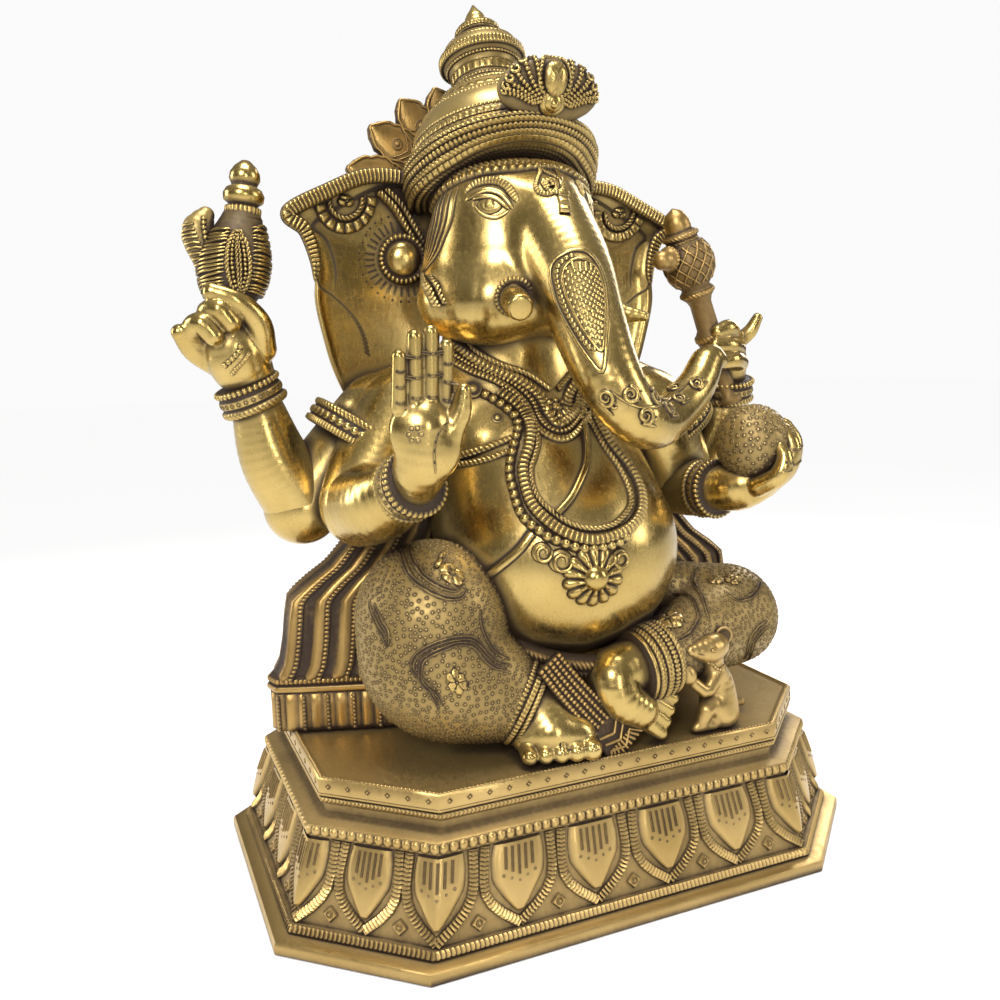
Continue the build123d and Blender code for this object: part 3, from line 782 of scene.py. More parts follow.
def trace(casting, skin, points, width, height, kind="plain", pitch=2.4, closed=False, lift=0.0, across=9,
          taper=False):
    """A moulding through given points, laid on a skin."""
    path, normals = skin.lay(smooth_line(points, closed=closed), lift)
    band(casting, path, normals, width, height, kind, pitch, closed, across, taper=taper)


belly = Form()
belly.egg(at("belly", 0, -1.5, -7.5), (66, 62, 58))
belly.egg(at("belly", -3, 16.5, 32.5), (58, 50, 44), soft=22)
belly = belly.cast(Casting())
belly.piece("belly", figure_brass)

chest = Form()
chest.egg(at("chest", -1, -2, -24.5), (57, 43, 39))
chest.limb(route("chest", [(-80, 2, -16.5), (-40, 2, -11.5), (40, 2, -11.5), (80, 2, -16.5)]),
           [25, 30, 30, 24], soft=12)
chest.rod(at("chest", -4, 3, -4.5), at("chest", -8, 1, 35.5), 38, 36, soft=12)
chest.egg(at("chest", -27, -28, -32.5), (25, 17, 20), soft=9)
chest.egg(at("chest", 26, -28, -32.5), (25, 17, 20), soft=9)
chest = chest.cast(Casting())
chest.piece("chest", figure_brass)

hips = Form()
hips.egg(at("hips", 0, -9, -0.5), (72, 39, 40))
hips = hips.cast(Casting(), 2.4, floor=deck_high[2])
hips.piece("hips", figure_brass)

# ---- Legs and feet ------------------------------------------------------------------
# Cloth-covered legs: the right knee is raised, the left leg lies folded on the deck.
# The cloth is punched all over with small rings, which hold dark patina.
cloth_brass = brass("cloth_brass", (0.54, 0.39, 0.145, 1), (0.40, 0.275, 0.08, 1), 1.15, 0.29, 1.0, 0.6)


def scatter(points, normals, spacing, rng, keep):
    """Points of a surface no closer together than spacing, where keep allows them."""
    cells = {}
    chosen = []
    for index in rng.permutation(len(points)):
        if not keep[index]:
            continue
        p = points[index]
        key = tuple(np.floor(p / spacing).astype(int))
        close = False
        for dx in (-1, 0, 1):
            for dy in (-1, 0, 1):
                for dz in (-1, 0, 1):
                    for q in cells.get((key[0] + dx, key[1] + dy, key[2] + dz), ()):
                        if (p[0] - q[0]) ** 2 + (p[1] - q[1]) ** 2 + (p[2] - q[2]) ** 2 < spacing**2:
                            close = True
        if not close:
            cells.setdefault(key, []).append(p)
            chosen.append(index)
    return points[chosen], normals[chosen]


def clothed(form, floor):
    """A leg in plain cloth, with the points and normals of its surface."""
    p, faces, normals = form.surface(1.5, floor)
    casting = Casting()
    casting.add(p, faces, 0.38)
    return casting, p, normals


right_leg = Form()
right_leg.rod(at("right_thigh", 28.5, 27.5, -18), at("right_thigh", -6.5, -20.5, 13), 34, 36.5)
right_leg.limb([at("right_thigh", -6.5, -21.5, 10), at("right_shin", -6, 0, 11.5),
                at("right_shin", 11, -8, -0.5),
                at("right_shin", 27, -16, -9.5)], [36.5, 37.5, 29, 19.5], soft=5)
left_leg = Form()
left_leg.rod(at("left_thigh", -41.5, 17.5, -0.5), at("left_thigh", 21.5, -22.5, 4.5), 35, 27)
left_leg.limb(route("left_shin", [(33.5, 21.5, 1.5), (-0.5, 4.5, 0.5), (-34.5, -10.5, -3.5)]),
              [27, 22, 17.5], soft=5)
punch_rng = np.random.default_rng(7)
right_leg, right_leg_points, right_leg_normals = clothed(right_leg, deck_high[2] + 0.5)
left_leg, left_leg_points, left_leg_normals = clothed(left_leg, deck_high[2] + 0.5)


def punch_rings(casting, points, normals):
    """Small rings all over the front of the cloth."""
    keep = points[:, 1] < 10
    centres, ups = scatter(points, normals, 2.45, punch_rng, keep)
    knob(casting, centres, ups, 1.2, 0.4, sides=8, hollow=True)


punch_rings(right_leg, right_leg_points, right_leg_normals)
punch_rings(left_leg, left_leg_points, left_leg_normals)


def medal(casting, skin, centre, ahead, radii, relief, rings=9, spokes=48):
    """Round or oval ornament laid on a skin; relief(share, angle) gives outline, rise and patina."""
    spot, up = skin.lay([centre], 0.0, 0)
    side = unit(np.cross(up[0], np.array(ahead, float)))
    front = np.cross(side, up[0])
    share = np.linspace(0.02, 1, rings)[:, None]
    angle = whole_turn(spokes)[None, :]
    reach, rise, dark = relief(share, angle)
    flat = spot[0] + ((np.cos(angle) * share * reach * radii[0])[..., None] * front
                      + (np.sin(angle) * share * reach * radii[1])[..., None] * side)
    laid, normals = skin.lay((flat + up[0] * 2).reshape(-1, 3), 0.0, 0)
    points = laid.reshape(flat.shape) + unit(normals.reshape(flat.shape) + 2 * up[0]) * rise[..., None]
    casting.grid(points[::-1], dark[::-1], round_columns=True, capped=True)


def rosette(petals, rise, boss=0.3):
    """Relief of a flower: rounded petals round a small boss."""
    def relief(share, angle):
        lobe = np.abs(np.cos(angle * petals / 2))
        reach = 0.84 + 0.16 * lobe**0.5
        petal = rise * (0.25 + 0.75 * lobe**0.45) * np.sqrt(np.clip(1.03 - share**4, 0, 1))
        middle = share < boss
        height = np.where(middle, rise * 1.3 * np.sqrt(np.clip(1.1 - (share / boss) ** 2, 0, 1)), petal)
        dark = np.where(middle, 0.0, np.clip(1.2 - 2.2 * lobe**0.6, 0, 1))
        dark = np.clip(dark + (np.abs(share - boss) < 0.08) + (share > 0.97), 0, 1)
        height = np.where(share > 0.97, -0.4, height) + 0 * angle
        return reach + 0 * share, height, dark
    return relief


def dome_relief(rise, pattern=None):
    """Relief of a smooth or cross-cut dome."""
    def relief(share, angle):
        height = rise * np.sqrt(np.clip(1.02 - share**2.4, 0, 1)) + 0 * angle
        dark = np.clip((share - 0.8) * 3, 0, 1) + 0 * angle
        if pattern == "hatch":
            x, y = share * np.cos(angle), share * np.sin(angle)
            cut = np.maximum(np.abs(np.sin((x + y) * 16)), np.abs(np.sin((x - y) * 16)))
            height = height + 0.25 * cut
            dark = np.clip(dark + (cut < 0.75) * 0.4, 0, 1)
        return 1.0 + 0 * share, height, dark
    return relief


def curl(casting, skin, centre, toward, up, size, turns=1.2, width=2.0, height=1.0, hand=1, tail=()):
    """Scroll: a spiral that opens out into a tail."""
    toward = unit(np.array(toward, float))
    side = np.cross(unit(np.array(up, float)), toward) * hand
    swing = np.linspace(0, 2 * math.pi * turns, 14)[:, None]
    reach = size * (0.25 + 0.75 * np.linspace(0, 1, 14)[:, None] ** 0.8)
    points = centre + reach * (np.cos(swing) * toward + np.sin(swing) * side)
    path = [*points, *[centre + a * toward + b * side for a, b in tail]]
    trace(casting, skin, path, width, height, across=7, taper=True)


def chase_legs():
    """Bordered panels, flowers and leaves cut into the cloth."""
    right_skin, left_skin = Skin(right_leg), Skin(left_leg)
    right_cuts = [
        (2.6, 0.9, [
            (-20, 10.5, 68.5), (-24.5, -6.5, 65.5), (-24.5, -17.5, 60), (-20, -24.5, 55),
            (-13, -29.5, 51.5), (-5, -30, 50.5), (-0.5, -27.5, 53.5),
        ]),
        (2.6, 0.9, [
            (-17.5, 5.5, 70), (-21, -10, 66), (-19.5, -19.5, 61), (-14.5, -25.5, 56.5), (-7, -28, 53.5),
            (-1, -26, 55.5),
        ]),
        (2.4, 0.9, [
            (-16.5, -34.5, 1.5), (-19.5, -35, 7.5), (-24.5, -33, 13.5), (-29, -30, 19.5),
            (-27.5, -30, 25.5), (-21.5, -32.5, 30), (-12.5, -34.5, 32.5), (-2.5, -34.5, 32),
            (2.5, -34, 28), (6.5, -33.5, 23), (11.5, -33.5, 18), (18.5, -32, 15),
        ]),
        (2.4, 0.9, [
            (-18.5, -33.5, -0.5), (-21.5, -34, 7.5), (-26, -32, 14.5), (-26, -32, 20.5), (-24, -32, 24.5),
            (-18.5, -34, 27.5), (-10, -35, 30), (-3, -35, 29), (1, -34.5, 25.5), (4.5, -35, 20.5),
            (10.5, -35, 15.5), (16.5, -33.5, 13.5),
        ]),
        (2.2, 0.8, [
            (-42, -5.5, 47), (-40.5, -14.5, 38), (-38.5, -18.5, 33), (-38, -20, 28.5),
        ]),
        (2.2, 0.8, [
            (-40.5, -10, 46.5), (-39, -16, 40.5), (-37.5, -20, 35.5), (-37.5, -20.5, 29),
        ]),
        (2.2, 0.8, [
            (4.5, -30.5, 43.5), (4.5, -32, 35.5), (8.5, -32, 26.5), (13.5, -31.5, 20.5), (19, -30.5, 17.5),
        ]),
    ]
    for width, rise, line in right_cuts:
        trace(right_leg, right_skin, route("right_shin", line), width, rise, "groove", across=7, lift=0.2,
              taper=True)
    right_flowers = [
        ((-4.5, -22, 61), (0, 0, 1), (8, 8), rosette(5, 1.5)),
        ((-10.5, -14, 66.5), (1, 0, 0.4), (7.5, 3.2), rosette(2, 1.3, 0.1)),
        ((-9, -37.5, 13.5), (0, 0, 1), (7, 7), rosette(6, 1.1, 0.15)),
    ]
    for place, ahead, radii, relief in right_flowers:
        medal(right_leg, right_skin, at("right_shin", *place), ahead, radii, relief)
    left_cuts = [
        (2.6, 0.9, [
            (-4, 23.5, 19.5), (-5, 7.5, 22), (-8, -5, 20), (-12, -13, 15.5), (-19, -18.5, 11.5),
            (-30, -22.5, 8.5), (-40.5, -22.5, 7.5), (-46.5, -18.5, 6.5),
        ]),
        (2.6, 0.9, [
            (19.5, 31.5, 30.5), (11, 24.5, 27), (5, 13.5, 23.5), (-0.5, -0.5, 22), (-4.5, -9.5, 18),
            (-6.5, -15.5, 13),
        ]),
        (2.6, 0.9, [
            (39.5, -5, 5), (28.5, -9, 2), (23, -10.5, -3.5), (25, -3, -15.5),
        ]),
        (2.6, 0.9, [
            (42, -4, 2), (32.5, -7.5, -1.5), (27.5, -8, -7), (32, 2, -19),
        ]),
        (2.6, 0.9, [
            (15, -0.5, 22), (19, -3.5, 19), (27.5, -2, 18), (37, 2.5, 20), (47, 11, 23.5),
        ]),
    ]
    for width, rise, line in left_cuts:
        trace(left_leg, left_skin, route("left_shin", line), width, rise, "groove", across=7, lift=0.2,
              taper=True)
    left_flowers = [
        ((-28.5, -10, 15.5), (0, 0, 1), (9, 9), rosette(6, 1.3, 0.12)),
        ((17.5, 12.5, 26), (0, 0, 1), (5, 5), rosette(5, 1.1)),
        ((26.5, 10, 26), (0, 0, 1), (5, 5), rosette(4, 1.1)),
    ]
    for place, ahead, radii, relief in left_flowers:
        medal(left_leg, left_skin, at("left_shin", *place), ahead, radii, relief)


chase_legs()
right_leg.piece("right_leg", cloth_brass, ["right_thigh", "right_shin"])
left_leg.piece("left_leg", cloth_brass, ["left_thigh", "left_shin"])

right_foot = Form()
right_foot.limb(route("right_foot", [(-14, 11.5, 6.5), (-7, 7.5, 3.5), (-3, -5.5, -4.5)]),
                [17, 17, 13])
right_foot.rod(at("right_foot", -14, -2.5, -7.5), at("right_foot", 8, -10.5, -7), 8.5, 9.5, soft=6)
for toe in range(5):
    root = at("right_foot", -17, -3.5, -9.5) + np.array((6.9, -2.1, 0.2)) * toe
    tip = at("right_foot", -19, -14, -12.5) + np.array((7.4, -1.7, 0.3)) * toe
    right_foot.rod(root, tip, 4.2 + 0.15 * toe, 3.9 + 0.35 * toe, soft=0.9)
right_foot = right_foot.cast(Casting(), 0.9, floor=deck_high[2] + 0.3)
skin = Skin(right_foot)
for toe in range(5):
    nail = at("right_foot", -20, -23.5, -6.5) + np.array((7.5, -1.4, 0.6)) * toe
    medal(right_foot, skin, nail, (0, 0, 1), (2.3 + 0.2 * toe, 2.0 + 0.3 * toe), dome_relief(0.45),
          spokes=20)
right_foot.piece("right_foot", figure_brass)

left_foot = Form()
left_foot.limb(route("left_foot", [(8, 3.5, 11.5), (-8, -0.5, 9.5), (-7, -4.5, -1.5), (2, -6.5, -8.5)]),
               [14, 13, 12, 10])
for toe in range(4):
    root = at("left_foot", 4, -8.5, -13.5) + np.array((3.4, 1.0, 4.0)) * toe
    tip = at("left_foot", 13, -9.5, -22) + np.array((3.2, 1.0, 5.2)) * toe
    left_foot.rod(root, tip, 4.8 - 0.4 * toe, 4.0 - 0.3 * toe, soft=1.0)
left_foot = left_foot.cast(Casting(), 0.9, floor=deck_high[2] + 0.3)
left_foot.piece("left_foot", figure_brass)

# ---- Head and trunk -----------------------------------------------------------------
# Broad smooth elephant's head whose trunk falls from between the eyes and curls to the
# figure's left.  The right tusk is cut short, the left one is whole.
head = Form()
head.egg(at("head", -0.5, 2, -2), (46, 43, 49))
head.egg(at("head", -0.5, -6, 22), (40, 31, 25), soft=8)
head.limb(route("head", [(-32.5, -1, -22), (-22.5, -19, -25), (-8.5, -31, -24)]), [21, 21, 17], soft=8)
head.limb(route("head", [(31.5, -1, -22), (22.5, -21, -24), (11.5, -33, -22)]), [21, 20, 17], soft=8)
head.limb(route("trunk", [(-32.5, 38, 49), (-30.5, 14, 23), (-30.5, -4, -4), (-27.5, -18, -28),
                          (-17.5, -23, -45), (-1.5, -17, -50), (16.5, -7, -44), (32.5, 0, -33),
                          (43.5, 6, -21), (48.5, 5, -21)]),
          [23, 20, 17.5, 15, 13, 11.5, 10.5, 9.5, 8, 5], soft=7)
head = head.cast(Casting(), 1.4)


def mirrored(points):
    """The same points on the other side of the head's middle plane."""
    middle = at("head", -0.5, 0, 0)[0]
    return np.array(points) * (-1, 1, 1) + (2 * middle, 0, 0)


def chase_face():
    """Eyes and hatched brows, the forehead mark, the trunk's panel and its scrolls."""
    skin = Skin(head)
    brow = route("head", [
        (-35, -21.5, 27), (-31.5, -23, 30), (-27, -26, 31.5), (-22.5, -29.5, 31.5), (-18.5, -33, 29),
        (-16.5, -36.5, 24.5), (-15, -39.5, 20.5),
    ])
    fold = route("head", [
        (-35.5, -22.5, 23), (-31.5, -26, 25.5), (-26.5, -29.5, 27), (-21.5, -33, 25), (-19, -36, 21),
        (-17, -38, 17.5),
    ])
    lid = route("head", [
        (-33, -25.5, 23), (-30, -28, 24), (-25, -31.5, 23.5), (-21.5, -34, 21), (-18.5, -37, 17.5),
    ])
    under = route("head", [
        (-33, -25.5, 22.5), (-32, -27, 19), (-29, -30, 15.5), (-24.5, -33, 14), (-21, -35.5, 15.5),
        (-18.5, -37, 17.5),
    ])
    pupil = at("head", -26.5, -31, 20)
    for eye in (lambda line: line, mirrored):
        trace(head, skin, eye(brow), 5.2, 1.7, "hatch", 1.7, taper=True)
        trace(head, skin, eye(fold), 3.8, 1.6, taper=True)
        trace(head, skin, eye(lid), 3.0, 1.8, taper=True)
        trace(head, skin, eye(under), 2.2, 1.0, taper=True)
        spot = eye([pupil])[0]
        medal(head, skin, spot, (0, 0, 1), (4.6, 6.5), dome_relief(0.9), spokes=32)
        medal(head, skin, spot, (0, 0, 1), (3.4, 3.4), dome_relief(1.5), spokes=24)
        medal(head, skin, spot, (0, 0, 1), (1.3, 1.3), dome_relief(2.0), spokes=14)
    volute = route("head", [
        (2.5, -23, 43.5), (-1, -34.5, 36.5), (-5, -39.5, 31.5), (-7, -42, 27.5), (-6, -44.5, 24.5),
        (-3, -47, 23.5), (0.5, -47, 25), (2.5, -45, 28), (2.5, -42.5, 31), (0, -41.5, 31), (-2, -43, 29),
        (-1.5, -45, 27),
    ])
    for line in (volute, mirrored(volute)):
        trace(head, skin, line, 2.8, 1.4, "hatch", 1.6)
    trace(head, skin, route("head", [
        (8.5, -29, 39.5), (7, -38.5, 34), (4.5, -46, 27),
    ]), 3.0, 1.3, taper=True)
    trace(head, skin, route("head", [
        (5.5, -47, 26), (3.5, -50, 22), (2.5, -53.5, 17.5), (1, -56.5, 13.5),
    ]), 6.4, 1.2, "squares", 5.0)
    outer = route("trunk", [
        (-38, -3, 30.5), (-43, -0.5, 28.5), (-46.5, 1.5, 25.5), (-48, 1.5, 20.5), (-48, -1, 14),
        (-47.5, -5.5, 5.5), (-46, -11.5, -3), (-44, -18, -11.5), (-41.5, -24, -19), (-38, -28.5, -24.5),
        (-36, -28.5, -18.5), (-34, -26, -10.5), (-31, -22.5, -1.5), (-29, -18, 6.5), (-27.5, -13, 16),
        (-28.5, -9, 23.5), (-32, -5.5, 29.5),
    ])
    inner = route("trunk", [
        (-38.5, -5.5, 26.5), (-42.5, -4, 23.5), (-44.5, -4.5, 19), (-45, -8, 11.5), (-44, -13, 3.5),
        (-42, -19, -5.5), (-39.5, -23.5, -11.5), (-37, -27, -15.5), (-35, -25.5, -9.5), (-32.5, -22, -1.5),
        (-30, -17.5, 7.5), (-29, -13, 16.5), (-30, -10, 22.5), (-34, -7.5, 26),
    ])
    trace(head, skin, outer, 2.4, 1.1, closed=True)
    trace(head, skin, inner, 1.8, 0.9, closed=True)
    trace(head, skin, outer[:9] * 0.52 + inner[:9] * 0.48, 3.0, 1.0, "beads", 2.6)
    edge_a, edge_b = smooth_line(inner[:9], 0.5), smooth_line(inner[8:][::-1], 0.5)
    diamonds = []
    for row, down in enumerate(np.linspace(0.05, 0.95, 27)):
        a, b = edge_a[int(down * (len(edge_a) - 1))], edge_b[int(down * (len(edge_b) - 1))]
        count = max(1, int(np.linalg.norm(b - a) / 2.5))
        for place in range(count):
            share = (place + 0.25 + 0.5 * (row % 2)) / count
            diamonds.append(a * (1 - share) + b * share - (0, 8.0 * share * (1 - share), 0))
    spots, ups = skin.lay(np.array(diamonds), 0.0, 0)
    knob(head, spots, ups, 1.25, 0.7, sides=4)
    scrolls = smooth_line(route("trunk", [
        (-38, -28.5, -30), (-32, -33, -35.5), (-26.5, -35.5, -39), (-19.5, -36, -40.5), (-10, -32.5, -40),
        (7.5, -15.5, -37.5), (18.5, -10, -33), (27.5, -6.5, -27.5),
    ]), 1.0)
    trace(head, skin, scrolls[2:-2], 2.0, 1.0, taper=True)
    for number, spot in enumerate(scrolls[5:-4:9]):
        hand = 1 if number % 2 else -1
        place, up = skin.lay([spot], 0.0, 0)
        ahead = unit(scrolls[min(5 + number * 9 + 4, len(scrolls) - 1)] - spot)
        side = np.cross(up[0], ahead) * hand
        centre = spot + side * 4.0 + up[0] * 1.5
        curl(head, skin, centre, -side, up[0], 4.3, 1.6, 2.6, 1.7, hand, [(-4.8, 3.4), (-5.8, 7.5)])
        curl(head, skin, centre + ahead * 4.6, ahead, up[0], 2.2, 1.0, 1.9, 1.3, -hand)
    around = np.radians(np.linspace(-98, 98, 25))
    forehead = np.stack([41 * np.sin(around), -41 * np.cos(around), 13 * np.cos(around)], axis=1)
    for lift, kind, pitch in ((-2.0, "squares", 4.0), (2.6, "rope", 2.8), (7.0, "rope", 2.8)):
        trace(head, skin, at("head", -0.5, 9, 28) + forehead + (0, 0, lift), 4.8, 3.0, kind, pitch)
    hair = at("head", -43.5, 3, 23)
    for strand in range(6):
        shift = np.array((1.6 * strand, -3.6 * strand, 0.0))
        line = [hair + shift + (2, 0, 6), hair + shift + (-1, 1, -8), hair + shift * 0.8 + (-3, 3, -22),
                hair + shift * 0.5 + (-2, 6, -36)]
        trace(head, skin, line, 2.2, 1.1, across=7, taper=True)
    ring = at("right_tusk", 2.5, 6.5, 1)
    head.hoop(ring, (-6, -26, -8), 7.8, 0.0, 3.6, 2.2, "hatch", 1.8, 0.4)
    head.hoop(at("left_tusk", -8.5, 8, 4), (16, -18, -8), 6.8, 0.0, 3.2, 1.8, "hatch", 1.8, 0.4)


chase_face()
head.piece("head_and_trunk", figure_brass, ["head", "trunk"])

right_tusk = Casting()
right_tusk.lathe(at("right_tusk", 2.5, 11.5, 2), (-6, -26, -8),
                 [(6.4, 0), (6.6, 8), (6.7, 14), (6.6, 20), (6.2, 24.5), (5.6, 25.6), (4.6, 26.0),
                  (0.6, 26.1)], sides=32)
right_tusk.piece("right_tusk", figure_brass)
left_tusk = Form()
left_tusk.limb(route("left_tusk", [(-10.5, 15, 6), (-1.5, 1, -2), (8.5, -9, -5)]),
               [7, 5.5, 2.4])
left_tusk = left_tusk.cast(Casting(), 1.0)
left_tusk.piece("left_tusk", figure_brass)

# ---- Ears ---------------------------------------------------------------------------
# Thin fans behind the cheeks, dished forward, with a folded rim that ends in a sharp
# point.


def make_ear(name, hand):
    """One ear; hand is -1 for the figure's right and 1 for its left."""
    casting = Casting()
    centre = mid(name)

    def own_side(points):
        """Points given for the right ear, turned over for the left one."""
        return centre + np.array(points) * (-hand, 1, 1)

    def outline(points):
        line = smooth_line(np.array([(hand * x, 0, z) for x, z in points]), 1.5)
        return centre + line[:, :3]

    outer = outline([(-12, -60), (2, -61), (13, -53), (21, -37), (26, -19), (29.5, 0), (28.5, 18), (33, 34),
                     (41, 42.5), (20, 54), (0, 62), (-22, 61.5), (-40, 52)])
    count = len(outer)
    inner = even(outline([(-36, -38), (-40, 0), (-44, 30), (-44, 48)]), 1.0)
    inner = inner[np.linspace(0, len(inner) - 1, count).astype(int)]
    across = np.linspace(0, 1, 26)
    sheet = inner[:, None] * (1 - across)[None, :, None] + outer[:, None] * across[None, :, None]
    dish = 4.5 * np.sin(np.pi * across**0.8) - 3.0 * np.clip((across - 0.9) / 0.1, 0, 1) ** 2
    wave = 1.2 * np.sin(np.linspace(0, 11, count))[:, None] * across[None, :] ** 3
    sheet[..., 1] += dish[None, :] - 3.5 + wave
    front = sheet - (0, 1.6, 0)
    back = (sheet + (0, 1.6, 0))[:, ::-1]
    loop = np.concatenate([front, back], axis=1)
    ends = [loop[:1] * 0.5 + loop[:1, ::-1] * 0.5, loop, loop[-1:] * 0.5 + loop[-1:, ::-1] * 0.5]
    loop = np.concatenate(ends, axis=0)
    casting.grid(loop if hand < 0 else loop[::-1], 0.0, round_columns=True)
    skin = Skin(casting)
    forward = np.tile([(0, -1.0, 0)], (count, 1))
    rim = outer.copy()
    rim[:, 1] += dish[-1] - 4.5
    high = int(count * 0.42)
    band(casting, rim[high:] - (0, 0.6, 0), forward[high:], 8.0, 2.4, "hatch", 2.2, taper=True)
    inside = sheet[high:, 21] - (0, 1.6, 0)
    band(casting, inside, forward[high:], 1.8, 0.9, "groove", taper=True, across=7)
    cuff = own_side((-10, -3, 49.5)) + (0, -4, 0)
    for reach, width, rise, kind, pitch in ((8.4, 3.4, 2.4, "rope", 2.4), (13.2, 6.0, 2.2, "squares", 5.0)):
        swing = np.linspace(-0.12, math.pi + 0.12, 24)[:, None]
        arc = cuff + reach * (np.cos(swing) * (1.05, 0, 0.1) - np.sin(swing) * (0, 0, 1))
        path, normals = skin.lay(arc, 0.3)
        band(casting, path, normals, width, rise, kind, pitch)
    medal(casting, skin, cuff, (0, 0, 1), (3.2, 5.0), rosette(3, 2.2, 0.2))
    disc = mid(name + "ring") + (0, -6, 0)
    for spoke in whole_turn(34):
        way = np.array((math.cos(spoke), 0, math.sin(spoke)))
        path, normals = skin.lay([disc + way * 14.5, disc + way * 17, disc + way * 19.5], 0.0)
        if np.ptp(path[:, 0]) + np.ptp(path[:, 2]) > 3.5:
            band(casting, path, normals, 1.7, 0.4, "groove", across=7, sink=0.2)
            spot, up = skin.lay([disc + way * 22], 0.05, 0)
            knob(casting, spot, up, 0.75, 0.15, sides=8, rings=3, dark=1.0)
    edge = own_side([
        (-39.5, -10, 36), (-33.5, -9.5, 30), (-29, -9, 23), (-27.5, -9.5, 14.5), (-26.5, -7, 8),
        (-21, -4.5, 3.5), (-14, -3, -2.5), (-8, -2, -10), (-4.5, -1.5, -18), (-3, -1.5, -26.5),
    ])
    for spot in smooth_line(edge, 2.2):
        cut = [spot + (0, -3, 0), spot + (-hand * 1.6, -3, -1.2), spot + (-hand * 3.0, -3, -2.4)]
        path, normals = skin.lay(cut, 0.05)
        band(casting, path, normals, 1.4, 0.35, "groove", across=7, sink=0.2)
    hem = own_side([
        (8.5, -2.5, 56), (17.5, -1, 48), (23.5, -0.5, 38.5), (28, -1.5, 30), (31, -2.5, 19.5),
        (20, -39, 8), (21, -45, 0), (22.5, -48, -5),
    ]) - (0, 3, 0)
    for shift in (-1.9, 1.9):
        line = smooth_line(hem + (shift * -hand, 0, shift * 0.4), 1.5)
        band(casting, line, np.tile([(0, -1.0, 0)], (len(line), 1)), 3.8, 2.4, "rope", 2.4, sink=3)
    casting.piece(name, figure_brass)


make_ear("right_ear", -1)
make_ear("left_ear", 1)


def make_earring(name, hand):
    """Domed and stippled disc inside a beaded ring."""
    casting = Casting()
    base = mid(name) + (0, 3.5, 0)
    turn = np.array((hand * 0.25, -1.0, 0))
    casting.lathe(base, turn, [(12.5, -2), (13, 1.5), (11, 2.6), (9.4, 2.4), (9, 3.2), (7.4, 5.2),
                               (4.5, 6.6), (1, 7.0)],
                  [0.9, 0.6, 0.8, 0.9, 0.6, 0.0, 0.0, 0.0])
    casting.hoop(base, turn, 11.4, 2.2, 3.4, 1.8, "beads", 2.4, 2.0)
    casting.piece(name, figure_brass)


make_earring("right_earring", -1)
make_earring("left_earring", 1)

# ---- Arms and hands -----------------------------------------------------------------
# Four smooth arms with ringed wrists.  The front right hand is raised, palm out; the
# others hold the conch, the axe and the sweet.


def make_arm(side, upper, fore, wrist, turn):
    """Upper arm, forearm and bracelet of one arm, each a piece of its own."""
    name = side + "_upper_arm"
    Form().limb(*upper).cast(Casting(), 1.5).piece(name, figure_brass)
    name = side + "_forearm"
    Form().limb(*fore).cast(Casting(), 1.4).piece(name, figure_brass)
    name = side + "_bracelet"
    casting = Casting()
    casting.lathe(wrist, turn, [(10, -6.5), (14.2, -6.5), (15.2, -5), (15.2, 5), (14.2, 6.5), (10, 6.5)],
                  0.9)
    casting.hoop(wrist, turn, 14.8, -5.0, 4.2, 1.9, "rope", 2.4, -0.3)
    casting.hoop(wrist, turn, 15.2, 0.0, 5.0, 0.5, "plain")
    casting.hoop(wrist, turn, 14.8, 5.0, 3.6, 1.9, "beads", 2.6, 0.3)
    turn = unit(np.array(turn, float))
    first = unit(np.cross(turn, (0.0, 1.0, 0.0)))
    angle = whole_turn(26)[:, None]
    out = first * np.cos(angle) + np.cross(turn, first) * np.sin(angle)
    knob(casting, wrist + out * 15.5, out, 1.35, 0.7, sides=8, hollow=True)
    casting.piece(name, figure_brass)


make_arm("rear_right",
         (route("rear_right_upper_arm", [(21.5, 0.5, 18.5), (-4.5, -1.5, -5.5), (-24.5, -5.5, -23.5)]),
          [25, 22.5, 19.5]),
         (route("rear_right_forearm", [(15.5, 1, -32), (1.5, -1, -7), (-6.5, -4, 21)]), [19.4, 17, 12]),
         mid("rear_right_bracelet"), (-0.36, -0.08, 0.93))
make_arm("rear_left",
         (route("rear_left_upper_arm", [(-20.5, 0, 16), (3.5, -2, -4), (22.5, -6, -21)]), [25, 21.5, 18.5]),
         (route("rear_left_forearm", [(-9, 4, -27.5), (-1, -2, -6.5), (3, -6, 15.5)]), [18.3, 15.5, 12]),
         mid("rear_left_bracelet"), (-0.1, -0.2, 0.95))
make_arm("front_right",
         (route("front_right_upper_arm", [(15, 10, 16.5), (-2, 2, -4.5), (-13, -6, -21.5)]),
          [26.5, 24, 21.5]),
         (route("front_right_forearm", [(-3, 31, -4.5), (0, 9, -0.5), (7, -9, 7.5)]), [21.4, 18.5, 13.5]),
         mid("front_right_bracelet"), (0.2, -0.9, 0.36))
make_arm("front_left",
         (route("front_left_upper_arm", [(-13, 1, 18.5), (1, 1, -3.5), (9, 2, -22.5)]), [25, 23, 20.5]),
         (route("front_left_forearm", [(-1, 24, 1.5), (0, 8, -0.5), (-1, -6, -0.5)]), [19.5, 17, 14]),
         at("front_left_bracelet", 0, 0.5, 0), (0.1, -0.97, 0.1))


def crease(casting, skin, centre, way, width):
    """Short cut across a finger, with a raised lip on each side."""
    span = np.linspace(-0.5, 0.5, 5)[:, None] * np.array(way, float) * width
    sag = np.array((0, 0, -0.9)) * (1 - np.linspace(-1, 1, 5) ** 2)[:, None]
    path, normals = skin.lay(centre + span + sag, 0.05)
    band(casting, path, normals, 1.7, 0.45, "groove", across=7)


